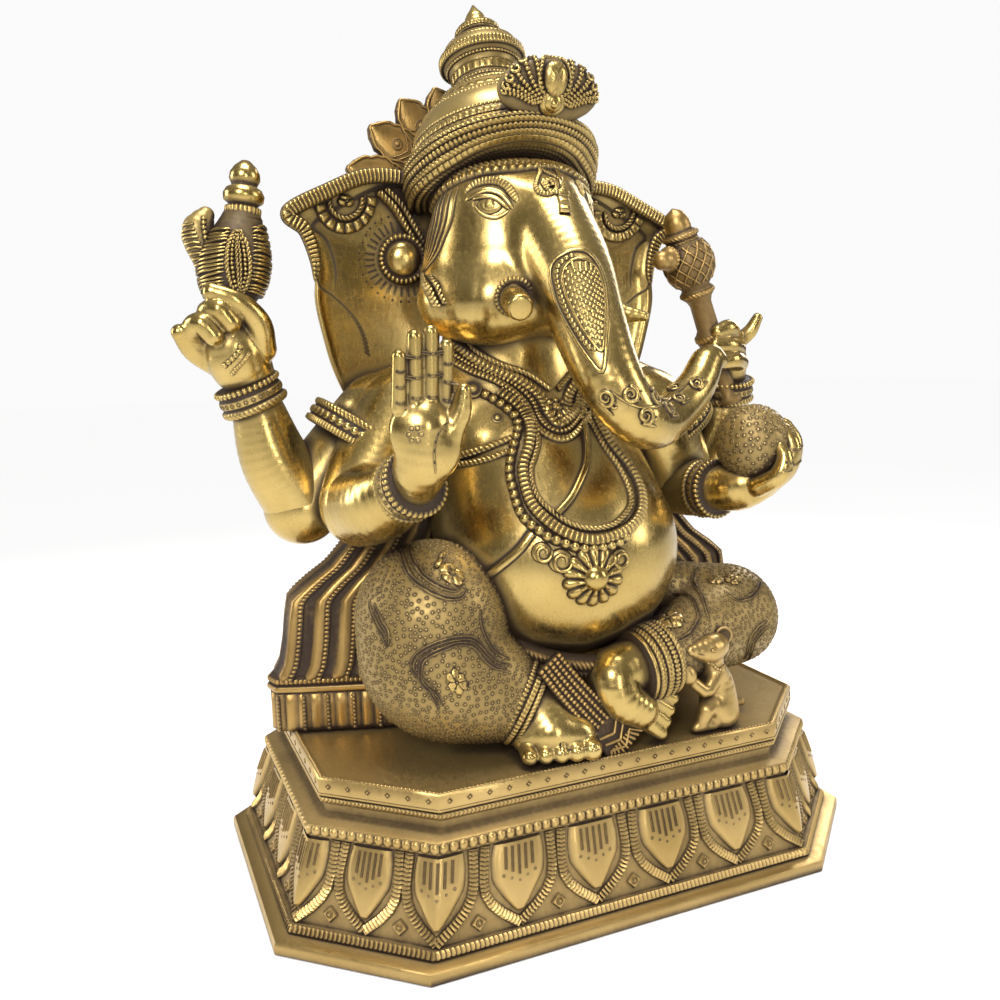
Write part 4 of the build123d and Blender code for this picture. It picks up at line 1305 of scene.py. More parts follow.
def make_raised_hand():
    form = Form()
    form.limb(route("front_right_hand", [(-4.5, 8.5, -32.5), (-3.5, 0.5, -22.5), (-2.5, -2.5, -7.5)]),
              [11.5, 12.5, 11])
    form.egg(at("front_right_hand", -3.5, -2.5, -8.5), (15.5, 8, 15), soft=5)
    form.egg(at("front_right_hand", 4, -6.5, -16.5), (8.5, 7, 14), (0, 12, 0), soft=2)
    form.limb(route("front_right_hand", [(7.5, -7.5, -9.5), (11.5, -9.5, -0.5), (12.5, -11.5, 8.5)]),
              [5.5, 4.8, 3.2], soft=2)
    roots = [(-15.0, 1.5, 23.5, 3.5), (-7.8, 2.5, 31.5, 3.8), (-0.5, 2.5, 33.5, 3.8), (6.5, 1.5, 27.5, 3.5)]
    for x, low, high, radius in roots:
        form.limb(route("front_right_hand", [(x, -4.5, low), (x, -7.5, high)]), [radius, radius * 0.85],
                  soft=0.8)
    casting = form.cast(Casting(), 1.0)
    skin = Skin(casting)
    for x, low, high, radius in roots:
        for share in (0.12, 0.42, 0.72):
            front = -3 * share - radius - 0.8
            spot = at("front_right_hand", x, front - 4.5, low + (high - low) * share)
            crease(casting, skin, spot, (1, 0, 0), radius * 1.9)
    palm_line = route("front_right_hand", [(4.5, -13.5, -4.5), (-0.5, -13.5, -9.5), (-2.5, -12.5, -17.5),
                                           (-1.5, -11.5, -27.5)])
    trace(casting, skin, palm_line, 1.6, 0.35, "groove", across=7, taper=True)
    petals = whole_turn(6)[:, None]
    ring = np.cos(petals) * (1, 0, 0) + np.sin(petals) * (0, 0, 1)
    spots, ups = skin.lay(at("front_right_hand", -10.5, -11.5, -9.5) + 3.0 * ring, 0.0, 0)
    knob(casting, spots, ups, 1.8, 0.3, sides=10, hollow=True)
    casting.piece("front_right_hand", figure_brass)


make_raised_hand()


def fingers(form, node_point, lines, soft=0.8):
    for line, radii in lines:
        form.limb([node_point + np.array(p, float) for p in line], radii, soft=soft, step=2.5)


rear_right_hand = Form()
palm_point = at("rear_right_hand", 9, 5, -20)
rear_right_hand.limb([palm_point, palm_point + (-7, -3, 12), palm_point + (-10, -4, 24)], [11.5, 15, 12])
fingers(rear_right_hand, palm_point, [
    ([(4, -8, 16), (2, -14, 28), (-8, -17, 38), (-18, -15, 42)], [7, 6, 5.2, 4.6]),
    ([(-14, -2, 24), (-20, -10, 32), (-16, -17, 34), (-11, -18, 28)], [6, 5.6, 5.2, 4.8]),
    ([(-20, -1, 18), (-27, -8, 25), (-24, -15, 28), (-19, -17, 22)], [6, 5.4, 5.0, 4.6]),
    ([(-14, 2, 10), (-26, -2, 16), (-33, -8, 24)], [8, 6, 4]),
])
casting = rear_right_hand.cast(Casting(), 1.1)
skin = Skin(casting)
trace(casting, skin, [palm_point + (-20, -22, 5), palm_point + (-13, -24, 11), palm_point + (-6, -24, 18)],
      3.2, 1.2, "beads", 2.4)
trace(casting, skin, [palm_point + (-15, -22, 1), palm_point + (-8, -24, 7), palm_point + (-2, -24, 14)],
      2.2, 0.9, "hatch", 1.6)
casting.piece("rear_right_hand", figure_brass)

rear_left_hand = Form()
palm_point = at("rear_left_hand", 9.5, 7.5, -19)
rear_left_hand.limb([palm_point, palm_point + (-3, -4, 10), palm_point + (-6, -6, 20)], [11, 12, 11])
fingers(rear_left_hand, palm_point, [
    ([(-2, -8, 26), (-10, -15, 30), (-19, -17, 28)], [5.4, 5.2, 4.2]),
    ([(0, -10, 18), (-10, -17, 20), (-21, -18, 20)], [5.4, 5.2, 4.2]),
    ([(2, -10, 10), (-8, -18, 12), (-17, -20, 11)], [5.4, 5.2, 4.2]),
    ([(4, -4, 22), (9, -10, 28), (13, -12, 36)], [5, 4.2, 3]),
])
rear_left_hand.cast(Casting(), 1.1).piece("rear_left_hand", figure_brass)

front_left_hand = Form()
palm_point = at("front_left_hand", -15.5, 18, -12.5)
front_left_hand.limb([palm_point, palm_point + (7, -10, 2), palm_point + (15, -18, 6)], [12.5, 13.5, 11])
fingers(front_left_hand, palm_point, [
    ([(14, -24, 4), (20, -31, 12), (24, -32, 24), (22, -28, 33)], [6, 5.2, 4.6, 3.6]),
    ([(20, -20, 4), (28, -24, 12), (32, -24, 25), (29, -20, 35)], [6, 5.4, 4.8, 3.8]),
    ([(24, -12, 4), (34, -14, 11), (38, -12, 23), (35, -9, 32)], [6, 5.4, 4.8, 3.8]),
    ([(8, -26, 4), (12, -36, 10), (15, -37, 19), (14, -34, 25)], [6, 5.2, 4.4, 3.4]),
])
casting = front_left_hand.cast(Casting(), 1.1)
skin = Skin(casting)
for x, y, z in [(14, -42, 14), (15, -42, 18), (23, -38, 16), (24, -38, 24), (32, -32, 16), (33, -32, 25)]:
    crease(casting, skin, palm_point + np.array((x, y, z), float), (1, 0, 0), 7)
casting.piece("front_left_hand", figure_brass)


def wear_armlet(name, base, turn, radius):
    """Band round the top of a pair of arms: two ropes with bosses between them."""
    casting = Casting()
    casting.lathe(base, turn, [(radius - 6, -6), (radius - 2, -6), (radius - 1.2, -4), (radius - 1.2, 4),
                               (radius - 2, 6), (radius - 6, 6)], 0.9)
    casting.hoop(base, turn, radius - 1.6, -4.6, 3.8, 1.6, "rope", 2.4)
    casting.hoop(base, turn, radius - 1.4, 0, 4.6, 1.5, "beads", 4.4)
    casting.hoop(base, turn, radius - 1.6, 4.6, 3.8, 1.6, "hatch", 1.8)
    casting.piece(name, figure_brass)


wear_armlet("right_armlet", at("right_armlet", 16.5, 1.5, -10.5), (-0.55, 0.05, -0.83), 31)
wear_armlet("left_armlet", at("left_armlet", -9.5, 3.5, -5), (0.55, 0.05, -0.83), 30)


def wear_anklet(name, base, turn, radius, rows):
    """Four rows of chased rings round an ankle."""
    casting = Casting()
    low, high = rows[0][1] - 1.5, rows[-1][1] + 1.5
    casting.lathe(base, turn, [(radius - 6, low), (radius - 1.5, low), (radius - 0.8, (low + high) / 2),
                               (radius - 2.5, high), (radius - 6, high)], 0.9)
    for shrink, height, width, kind in rows:
        casting.hoop(base, turn, radius - shrink, height, width, 1.5, kind, 2.2)
    casting.piece(name, cloth_brass)


wear_anklet("right_anklet", at("right_anklet", 2.5, -1.5, -1.5), (0.78, -0.42, -0.45), 22,
            [(1.2, -8, 3.8, "rope"), (0.8, -4.2, 3.6, "beads"), (1.2, -0.4, 3.4, "hatch"),
             (2.2, 2.8, 3.0, "rope")])
wear_anklet("left_anklet", at("left_anklet", 3, 0.5, 0.5), (-0.9, -0.1, -0.12), 19.8,
            [(1.2, -5.4, 3.6, "rope"), (0.8, -1.4, 4.0, "beads"), (0.8, 2.8, 4.0, "hatch"),
             (1.2, 7.0, 4.0, "rope"), (2.0, 10.6, 3.0, "plain")])

# ---- Crown --------------------------------------------------------------------------
# Tall crown leaning back: rope mouldings over a fringe of square beads, a fluted course,
# a dome with a tier of arches, a ribbed ring and a pointed finial.
crown_up = unit(np.array((-0.03, 0.2756, 0.9613)))
crown_base = at("crown_band", 0.5, -4.5, -14.5)


def lift_front(casting):
    """Raise the front of the band over the forehead, where it narrows to half its height."""
    for points in casting.points:
        rise = (points - crown_base) @ crown_up
        front = np.clip((crown_base[1] - 4 - points[:, 1]) / 44, 0, 1) ** 1.2
        hug = 0.009 * np.clip(16 - rise, 0, 16) * np.clip(front * 2, 0, 1)
        points[:, 0] -= (points[:, 0] - crown_base[0]) * hug
        points[:, 1] += front * np.clip(19 - rise, 0, 19) * 0.62
        points += crown_up * (front * np.clip(27 - rise, 0, 40) * 0.34)[:, None]


def crown_rows(casting, rows):
    """Mouldings round the crown: radius, height, width, rise, relief, pitch and tilt of each."""
    for row in rows:
        casting.hoop(crown_base, crown_up, *row)


def make_crown():
    casting = Casting()
    band_wall = [(33, 7), (49, 4), (50.5, 8), (51, 14), (50, 20), (46.5, 26), (40, 27)]
    casting.lathe(crown_base, crown_up, band_wall, [0.5] + [0.8] * 6, sides=72)
    crown_rows(casting, [(49.8, 4.6, 3.8, 1.6, "squares", 3.7, -0.2)])
    for radius, height in ((46.2, 4.3), (42.8, 4.9), (39.4, 5.5), (36.0, 6.1)):
        crown_rows(casting, [(radius, height, 3.9, 1.8, "rope", 2.6, -1.2)])
    for radius, height, kind in ((50.4, 8.2, "rope"), (51, 12.2, "beads"), (51, 16.2, "rope"),
                                 (50.2, 20.2, "rope")):
        crown_rows(casting, [(radius, height, 3.9, 2.0, kind, 2.6, 0.15)])
    crown_rows(casting, [(47.6, 24.4, 4.6, 0.9, "hatch", 3.6, 0.8)])
    lift_front(casting)
    casting.piece("crown_band", figure_brass)
    casting = Casting()
    dome = [(40, 26.5), (45, 27), (44.6, 31), (43.2, 38), (37.5, 46), (31, 51.5), (26.5, 57), (24.5, 59),
            (20, 60.8), (15, 61)]
    casting.lathe(crown_base, crown_up, dome, [0.6, 0.4, 0.3, 0.2, 0.2, 0.4, 0.4, 0.6, 0.8, 0.8], sides=72)
    crown_rows(casting, [
        (44.6, 29.0, 4.0, 1.2, "hatch", 3.4, 0.1),
        (44.0, 32.6, 2.0, 1.0, "beads", 2.0, 0.2),
        (37.4, 45.2, 2.2, 1.0, "beads", 2.0, 0.8),
        (31.6, 50.4, 6.0, 1.2, "squares", 5.0, 1.0),
        (26.8, 56.2, 2.4, 1.0, "rope", 2.0, 0.8),
    ])
    casting.piece("crown_dome", figure_brass)
    casting = Casting()
    ring = [(17, 60.8), (18.6, 62), (17.6, 66), (17.8, 71), (19.5, 75), (22.0, 77), (23, 79), (22.4, 81.5),
            (20, 85), (16.5, 87.5), (14.6, 90), (11, 91.8)]
    casting.lathe(crown_base, crown_up, ring, [0.8, 0.6, 0.4, 0.3, 0.3, 0.3, 0.3, 0.3, 0.3, 0.5, 0.6, 0.8],
                  sides=64)
    crown_rows(casting, [
        (18.3, 63, 2.0, 0.9, "beads", 1.9),
        (17.7, 68.5, 6.0, 0.8, "squares", 4.4),
        (19.4, 74.4, 2.0, 0.9, "beads", 1.9, -0.3),
        (22.6, 79.0, 5.2, 0.9, "hatch", 2.0),
        (18.8, 86.0, 3.0, 0.7, "rope", 2.2, 0.8),
    ])
    casting.piece("crown_ring", figure_brass)
    casting = Casting()
    tip = 0.999 * (np.array(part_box("crown_finial")[1])[2] / MM - crown_base[2]) / crown_up[2]
    finial = [(9, 91.8), (11.4, 92.4), (12.2, 95), (11, 97.6), (7, 99.6), (5.4, 101.4), (5.8, 103),
              (4.6, 105.5), (2.4, 108.5), (0.6, tip)]
    casting.lathe(crown_base, crown_up, finial, 0.1, sides=48)
    crown_rows(casting, [(11.8, 95, 3.0, 0.6, "hatch", 2.2)])
    casting.piece("crown_finial", figure_brass)


make_crown()

# ---- Crest --------------------------------------------------------------------------
# Upright plaque on the crown's front: a teardrop over a round boss, beaded ribs that fan
# out on both sides and a curled edge.
crest_base = at("crown_crest", 0, -5.5, -16.5)
crest_across = np.array((1.0, 0.0, 0.0))
crest_out = unit(np.array((0.0, -0.94, 0.34)))
crest_up = np.cross(crest_across, -crest_out)
crest_scale = 1.12
crest_drop = 4.0


def on_crest(u, v, out=10.0):
    """Point of the crest from its foot: across, up and out of the plaque."""
    flat = crest_across * (u * crest_scale) + crest_up * (v * crest_scale - crest_drop)
    return crest_base + flat + crest_out * (out + 4)


def make_crest():
    form = Form()
    form.egg(on_crest(0, 17, 0), (27, 14.5, 6), (-70.1, 0, 0))
    casting = form.cast(Casting(), 1.2, patina=0.55)
    skin = Skin(casting)
    for hand in (-1, 1):
        for rib in range(6):
            head, reach = 29 - 5.0 * rib, 8.5 + 4.6 * rib - 0.24 * rib**2
            line = [on_crest(hand * (3 + 1.3 * rib), 3 - 0.6 * rib),
                    on_crest(hand * (reach * 0.72 + 1), 7 + (head - 7) * 0.4),
                    on_crest(hand * reach, 7 + (head - 7) * 0.8), on_crest(hand * (reach + 0.5), head)]
            trace(casting, skin, line, 3.0, 1.7, "beads", 2.0)
            tip = on_crest(hand * (reach + 1.5), head + 2.2)
            curl(casting, skin, tip, (hand, 0, 0.1), crest_out, 3.3, 1.2, 2.3, 1.6, hand)
    drop = [on_crest(7.6 * math.sin(a), 17 - 11.5 * math.cos(a) + 1.5 * math.cos(2 * a))
            for a in whole_turn(14)]
    trace(casting, skin, drop, 2.2, 1.6, "rope", 1.8, True)
    medal(casting, skin, on_crest(0, 17.5), crest_up, (10.5, 6.6), dome_relief(3.6, "hatch"))
    for radius, rise in ((7.4, 2.0), (5.2, 3.2), (2.8, 4.4)):
        medal(casting, skin, on_crest(0, 2.5), crest_up, (radius, radius), dome_relief(rise))
    casting.piece("crown_crest", figure_brass)


make_crest()

# ---- Feather fan --------------------------------------------------------------------
# Eight leaf-shaped feathers behind the crown, each with a rim, an eye and hatched barbs.
dark_brass = brass("dark_brass", (0.44, 0.29, 0.10, 1), (0.32, 0.20, 0.065, 1), 1.1, 0.34, 1.2, 0.8)


def make_feathers():
    casting = Casting()
    for angle, length in ((80, 75), (60, 70), (41, 66), (22, 62)):
        for hand in (-1, 1):
            root = at("feather_fan", 0, 0, -26.5)
            turn = math.radians(angle) * hand
            ahead = np.array((math.sin(turn), 0, math.cos(turn)))
            side = np.array((math.cos(turn), 0, -math.sin(turn)))
            along = np.linspace(0, 1, 22)
            half = np.interp(along, [0, 0.15, 0.45, 0.72, 0.88, 0.96, 1],
                             [6, 7.5, 10.8, 11.2, 8.2, 4.6, 0.8])
            half = half * (1 + 0.05 * np.sin(along * 60))
            reach = 12 + (length - 12) * along
            q = np.linspace(-1, 1, 15)
            lift = 2.2 * np.sqrt(np.clip(1 - q**2, 0, 1)) + 0.9 * (np.abs(np.abs(q) - 0.86) < 0.1)
            centre = root + ahead * reach[:, None]
            wide = centre[:, None] + side * (half[:, None] * q)[..., None]
            front = wide - np.array((0, 1.0, 0)) * (1.2 + lift[None, :, None])
            back = (wide + np.array((0, 1.0, 0)) * (1.6 + 0.5 * lift[None, :, None]))[:, ::-1]
            shade = np.concatenate([np.clip(1.1 - 0.6 * lift, 0, 0.9), np.full(15, 0.4)])
            casting.grid(np.concatenate([front, back], axis=1)[::-1], np.tile(shade, (22, 1)),
                         round_columns=True, capped=True)
            rim_q = np.concatenate([np.full(20, -0.88), [0.0], np.full(20, 0.88)])
            rim_row = np.concatenate([np.arange(20), [21], np.arange(20)[::-1]])
            rim = centre[rim_row] + side * (half[rim_row] * rim_q)[:, None] - (0, 2.0, 0)
            band(casting, rim, np.tile([(0, -1.0, 0)], (len(rim), 1)), 2.2, 1.6, across=7)
            eye = root + ahead * (length - 17) - (0, 3.0, 0)
            knob(casting, [eye], [(0, -1.0, 0)], 3.6, 1.2, sides=16, hollow=True)
            for row in range(9):
                spot = root + ahead * (24 + row * 2.8) - (0, 3.1, 0)
                for way in (-1, 1):
                    barb = np.array([spot, spot + side * way * 3.2 + ahead * 2,
                                     spot + side * way * 7 + ahead * 5])
                    band(casting, barb, np.tile([(0, -1.0, 0)], (3, 1)), 1.1, 0.5, across=5)
    casting.piece("feather_fan", dark_brass, slot="dark_brass")


make_feathers()

# ---- Robe ---------------------------------------------------------------------------
# Cloth spread out behind the seat: long folds that follow its flared sides, with rows of
# tiny beads between them, and a pleated hem that stands on the deck.
hem_low, hem_high = (np.array(corner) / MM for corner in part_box("robe_hem"))
fold_pitch = 13.0
pleat_pitch = 6.6


def robe_ring(half_width, z, count=220):
    """Closed line round the robe at a level: along the front, round the side, along the back."""
    flat = np.array([(-1.0, 18), (-0.985, 8), (-0.9, 3), (-0.62, -10.5), (0.62, -10.5), (0.9, 3),
                     (0.985, 8), (1.0, 18), (0.96, 29), (0.56, 44.5), (-0.56, 44.5), (-0.96, 29)])
    ring = np.stack([flat[:, 0] * half_width, flat[:, 1], np.full(len(flat), z)], axis=1)
    ring = even(ring, 1.0, True)
    where = np.linspace(0, len(ring), count, endpoint=False)
    return np.stack([np.interp(where, np.arange(len(ring) + 1), np.append(c, c[0])) for c in ring.T],
                    axis=1)


def make_robe():
    casting = Casting()
    levels = np.array([104, 107, 112, 124, 136, 146, 154, 162, 171, 180, 192, 203, 213.5])
    halves = np.array([148.5, 147.5, 144.5, 142, 140.5, 138.5, 128.5, 116, 107, 99, 91, 84.5, 78])
    rings = np.stack([robe_ring(w - 1.0, z) for w, z in zip(halves, levels)])
    middle = rings.mean(axis=1, keepdims=True)
    out = unit((rings - middle) * (0.3, 1, 0))
    from_edge = (1 - np.abs(rings[0, :, 0]) / 147.5) * 147.5
    fold = np.sin(from_edge / fold_pitch * 2 * math.pi - 1.2)
    lift = 1.8 * np.clip(fold, -0.7, 1)
    points = rings + out * lift[None, :, None]
    shade = np.clip(0.45 - 0.5 * fold, 0, 1)
    casting.grid(points, np.tile(shade, (len(levels), 1)), round_columns=True, capped=True)
    for hand in (-1, 1):
        for column in (8.5, 21.5, 34.5):
            for side in (-1, 1):
                facing = (rings[0, :, 0] * hand > 0) & ((rings[0, :, 1] < 17) == (side < 0))
                index = np.flatnonzero(facing)
                pick = index[np.argmin(np.abs(from_edge[index] - column))]
                path = smooth_line(points[:, pick], 1.5)
                normals = np.tile(out[4, pick], (len(path), 1))
                band(casting, path, normals, 3.4, 1.7, "beads", 2.3, across=7)
    casting.piece("back_robe", dark_brass, slot="dark_brass")
    casting = Casting()
    levels = np.array([hem_low[2] + 0.1, 79, 84, 90, 96.5, 97.2, 101.5, 102.2, hem_high[2] - 0.2])
    rings = np.stack([robe_ring(147.6, z, 560) for z in levels])
    out = unit((rings - rings.mean(axis=1, keepdims=True)) * (0.3, 1, 0))
    run = np.concatenate([[0], np.cumsum(np.linalg.norm(np.diff(rings[0], axis=0), axis=1))])
    pleat = np.abs(np.sin(run / pleat_pitch * math.pi)) ** 0.5
    share = np.array([0.9, 1, 1, 1, 1, 0, 0, 0, 0])[:, None]
    rail = np.array([0] * 5 + [-0.9, -0.6, -0.4, -0.6])[:, None]
    lift = share * (pleat[None] * 1.7 - 0.9) + (1 - share) * rail
    shade = np.clip(share * (1.15 - 1.4 * pleat[None]) + (1 - share) * 0.7, 0, 1)
    casting.grid(rings + out * lift[..., None], shade, round_columns=True, capped=True)
    for z, width, kind in ((99.4, 4.2, "plain"), (103.6, 3.2, "beads")):
        path = robe_ring(147.6, z, 240)
        band(casting, path, out[0][np.linspace(0, 559, 240).astype(int)], width, 1.7, kind, 2.4, True)
    for column in range(1, int(run[-1] / pleat_pitch), 2):
        index = int(np.argmin(np.abs(run - (column + 0.5) * pleat_pitch)))
        path = rings[:5, index] + out[:5, index] * 0.5
        band(casting, path, np.tile(out[0, index], (5, 1)), 3.2, 0.8, "beads", 2.2, across=5)
    casting.piece("robe_hem", dark_brass, slot="dark_brass")


make_robe()

# ---- Belt and sash ------------------------------------------------------------------
# Double rope belt under the belly, and the pleated end of the cloth that falls aslant
# between the feet to a fringe on the deck.


def make_belt():
    belt_path = route("belt", [
        (-52, 14, 10), (-34, -4, -2), (-8, -14, -7), (16, -6, -4), (40, 14, 8),
    ])
    casting = Form().limb(belt_path, [5] * 5).cast(Casting(), 1.2, patina=0.9)
    line = smooth_line(belt_path, 2)
    out = unit(line - at("belt", -6, 40, 26))
    for shift, kind in ((2.6, "rope"), (-2.6, "chevron")):
        low = np.array((0, -0.5, 0.85)) * shift
        band(casting, line + low + out * 3.6, unit(out + low * 0.12), 5.0, 2.4, kind, 2.4)
    casting.piece("belt", dark_brass, slot="dark_brass")


def make_sash():
    casting = Casting()
    spine = smooth_line(route("sash", [
        (-20.5, 4, 24), (-11.5, 0, 11), (0.5, -4, -4), (9.5, -7, -14), (15.5, -9, -21.5),
    ]),
                        1.5)
    ahead = unit(np.gradient(spine, axis=0))
    up = unit(np.cross(ahead, np.cross((0, -1.0, 0.25), ahead)))
    up = np.where(up[:, 1:2] > 0, -up, up)
    side = np.cross(ahead, up)
    width = np.interp(np.linspace(0, 1, len(spine)), [0, 0.7, 1], [7.2, 8.2, 11.5])[:, None]
    q = np.linspace(-1, 1, 11)
    front = spine[:, None] + side[:, None] * (width * q)[..., None] + up[:, None] * 0.6
    back = (spine[:, None] + side[:, None] * (width * q)[..., None] - up[:, None] * 3.0)[:, ::-1]
    casting.grid(np.concatenate([front, back], axis=1), 0.9, round_columns=True, capped=True)
    last = int(len(spine) * 0.72)
    for q in (-0.84, -0.42, 0.0, 0.42, 0.84):
        path = spine + side * width * q + up * 0.6
        band(casting, path[:last], up[:last], 3.0, 1.6, "beads", 2.2, across=7)
    for row in range(3):
        index = last + 1 + row * 3
        points = np.array([spine[index] - side[index] * 7.5, spine[min(index + 3, len(spine) - 1)],
                           spine[index] + side[index] * 7.5]) + up[index] * 0.8
        path = even(points, 1.0)
        band(casting, path, np.tile(up[index], (len(path), 1)), 1.8, 1.2, across=5)
    for q in np.linspace(-0.9, 0.9, 9):
        foot = spine[-1] + side[-1] * width[-1] * q * 1.12 + up[-1] * 0.8
        root = spine[last + 7] + side[last + 7] * 8 * q + up[last + 7] * 0.8
        path = even(np.array([root, foot]), 1.0)
        band(casting, path, np.tile(up[-1], (len(path), 1)), 2.0, 1.1, across=5)
    casting.piece("sash", dark_brass, slot="dark_brass")


make_belt()
make_sash()

# ---- Collar -------------------------------------------------------------------------
# Broad collar low on the neck: rope, herringbone and bead rows that meet in a point, with
# a small flower over it.
body_skin = Skin(belly, chest)


def make_choker():
    casting = Casting()
    rows = [
        (route("choker", [
            (-35, 24.5, 30.5), (-31, 18.5, 20.5), (-21.5, 9.5, 13), (-8.5, 3.5, 7.5), (2, 0, -0.5),
        ]), 3.6, 1.8, "rope", 2.4),
        (route("choker", [
            (-38, 31, 25), (-33.5, 20.5, 17.5), (-25.5, 11.5, 11), (-13, 4, 4.5), (-4, -0.5, -4),
            (-1.5, -6.5, -13.5), (0.5, -11.5, -17.5), (8.5, -9, -14.5), (19, -0.5, -7.5), (27, 6, 0.5),
        ]), 6.6, 2.4, "chevron", 2.6),
        (route("choker", [
            (-40, 28, 18), (-34.5, 18.5, 13), (-25.5, 10.5, 8), (-15.5, 4, 2), (-8.5, -1, -6.5),
            (-7, -9.5, -17), (-2, -15, -21), (6.5, -14, -19.5), (20.5, -2, -11.5), (28.5, 4, -3.5),
        ]), 3.4, 2.0, "beads", 2.2),
        (route("choker", [
            (-41, 23.5, 14), (-34.5, 16, 9.5), (-24.5, 8.5, 4.5), (-16, 2.5, -2.5), (-11, -2, -11),
            (-10.5, -11.5, -19.5), (-3.5, -18, -24.5), (5.5, -18, -23), (19.5, -7.5, -15.5), (30, 2.5, -8),
        ]), 4.0, 2.2, "hatch", 2.2),
    ]
    for line, width, rise, kind, pitch in rows:
        trace(casting, body_skin, line, width, rise, kind, pitch, lift=0.3)
    middle = at("choker", 4, 0, 0)[0]
    for line, width, rise, kind, pitch in rows:
        far = (line * (-1, 1, 1) + (2 * middle, 0, 0))[:6]
        trace(casting, body_skin, far, width, rise, kind, pitch, lift=0.2)
    medal(casting, body_skin, at("choker", 3, -4.5, -11.5), (0, 0, 1), (7.5, 7.5), rosette(8, 3.4, 0.35))
    casting.piece("choker", figure_brass)


make_choker()

# ---- Long necklace, pendant and thread ----------------------------------------------
# Square beads outside a thick and a thin rope, a flower pendant with curled leaves, and
# the smooth thread that crosses the breast and edges the belly cloth.


def make_necklace():
    casting = Casting()
    trace(casting, body_skin, route("long_necklace", [
        (-37, 34, 38.5), (-31, 29.5, 34), (-26.5, 25.5, 29.5), (-23.5, 22.5, 25), (-24, 18.5, 21),
        (-27.5, 14.5, 15.5), (-30.5, 11.5, 10), (-33, 9, 4), (-34.5, 6, -1.5), (-35, 2, -6.5),
        (-35, -1.5, -12), (-34.5, -5.5, -17.5), (-32.5, -10, -22), (-29, -14, -25.5), (-25, -17.5, -29),
        (-20, -20.5, -31), (-15.5, -22.5, -33), (-8.5, -24.5, -34.5), (3, -25.5, -34), (8.5, -25, -32.5),
        (14, -24, -29.5),
    ]), 5.4, 3.0, "beads", 4.6, lift=0.3, across=11)
    trace(casting, body_skin, route("long_necklace", [
        (-28.5, 30.5, 38.5), (-20.5, 24, 30.5), (-18.5, 16.5, 21.5), (-22.5, 9, 12.5), (-28, 4.5, 3.5),
        (-29.5, -0.5, -5), (-29, -7, -14), (-25, -14, -21), (-17.5, -20, -27), (-7, -24, -30.5),
        (5.5, -24.5, -29.5), (17.5, -21.5, -25.5), (25.5, -16, -19), (29, -8.5, -10), (27, -2, -0.5),
        (20.5, 4.5, 10.5), (18.5, 13.5, 20), (20.5, 23.5, 27.5),
    ]), 6.2, 3.2, "hatch", 2.5, lift=0.3, across=11)
    trace(casting, body_skin, route("long_necklace", [
        (-17.5, 17.5, 23), (-17.5, 9.5, 15), (-21.5, 4.5, 8), (-25, 2, 2.5), (-26.5, -2.5, -5),
        (-25.5, -8, -12), (-21, -14, -18), (-15, -19, -23), (-6, -22.5, -25.5), (4.5, -23, -25),
        (12, -21, -22), (19.5, -16.5, -16.5), (21.5, -11, -9.5), (20, -4, 0), (16, 2.5, 10),
        (14, 13.5, 21.5),
    ]), 3.4, 2.0, "rope", 2.3, lift=0.3)
    for width, line in (
        (4.4, route("long_necklace", [
            (-53.5, 38.5, 6), (-47.5, 26, 9), (-39, 20.5, 12), (-29, 16, 16),
        ])),
        (3.8, route("long_necklace", [
            (-54.5, 36.5, 2), (-48, 25, 4), (-40.5, 17.5, 6.5), (-32.5, 13, 9.5),
        ])),
    ):
        trace(casting, body_skin, line, width, 1.9, "rope", 2.4, lift=0.2)
    knob(casting, *body_skin.lay(route("long_necklace", [(-32.5, 25, 26)]), 0.2, 0), 3.2, 0.9, sides=20,
         hollow=True)
    knob(casting, *body_skin.lay(route("long_necklace", [(-41, 36, 40)]), 1.0, 0), 5.2, 2.4, sides=20,
         hollow=True)
    casting.piece("long_necklace", figure_brass)


def make_pendant():
    casting = Casting()
    centre = at("flower_pendant", -2, 1, 3.5)
    medal(casting, body_skin, centre, (0, 0, 1), (17, 17), rosette(14, 3.4, 0.3), rings=12, spokes=112)
    medal(casting, body_skin, centre, (0, 0, 1), (11.5, 11.5), rosette(14, 4.6, 0.3), rings=10, spokes=112)
    medal(casting, body_skin, centre, (0, 0, 1), (7.2, 7.2), dome_relief(7.4), rings=9)
    leaves = [((-25, 10, 16), 4.6, 1), ((-17.5, 5.5, 12), 5.4, 1), ((12, 1, 11), 4.6, -1)]
    for place, size, hand in leaves:
        spot = at("flower_pendant", *place)
        medal(casting, body_skin, spot, (0, 0, 1), (size * 1.15, size * 1.15), dome_relief(1.6), spokes=32)
        curl(casting, body_skin, spot + (0, -2, 0), (0, 0, -1), (0, -1, 0), size, 1.3, 2.6, 3.0, hand)
    casting.piece("flower_pendant", figure_brass)


def make_thread():
    casting = Casting()
    trace(casting, body_skin, route("sacred_thread", [
        (25, 25, 41.5), (21.5, 16, 32.5), (18, 10, 25.5), (12.5, 5.5, 18.5), (5, 1, 10.5), (-3, -0.5, 3.5),
    ]), 4.4, 2.4, lift=0.9)
    hem = route("sacred_thread", [
        (-15.5, 1.5, -5), (-21.5, 3, -12.5), (-28, 7.5, -19.5), (-33, 13, -25), (-36.5, 19, -28.5),
    ])
    trace(casting, body_skin, hem, 5.0, 1.8, lift=0.2)
    trace(casting, body_skin, hem + (-2.4, 0, 2.0), 1.6, 1.1, "groove", across=7, lift=0.8)
    casting.piece("sacred_thread", figure_brass)


make_necklace()
make_pendant()
make_thread()

# ---- Conch --------------------------------------------------------------------------
# Conch upright in the rear right hand: a ribbed bulb with beaded loops down its front, a
# hatched side lobe and a finial of two balls.


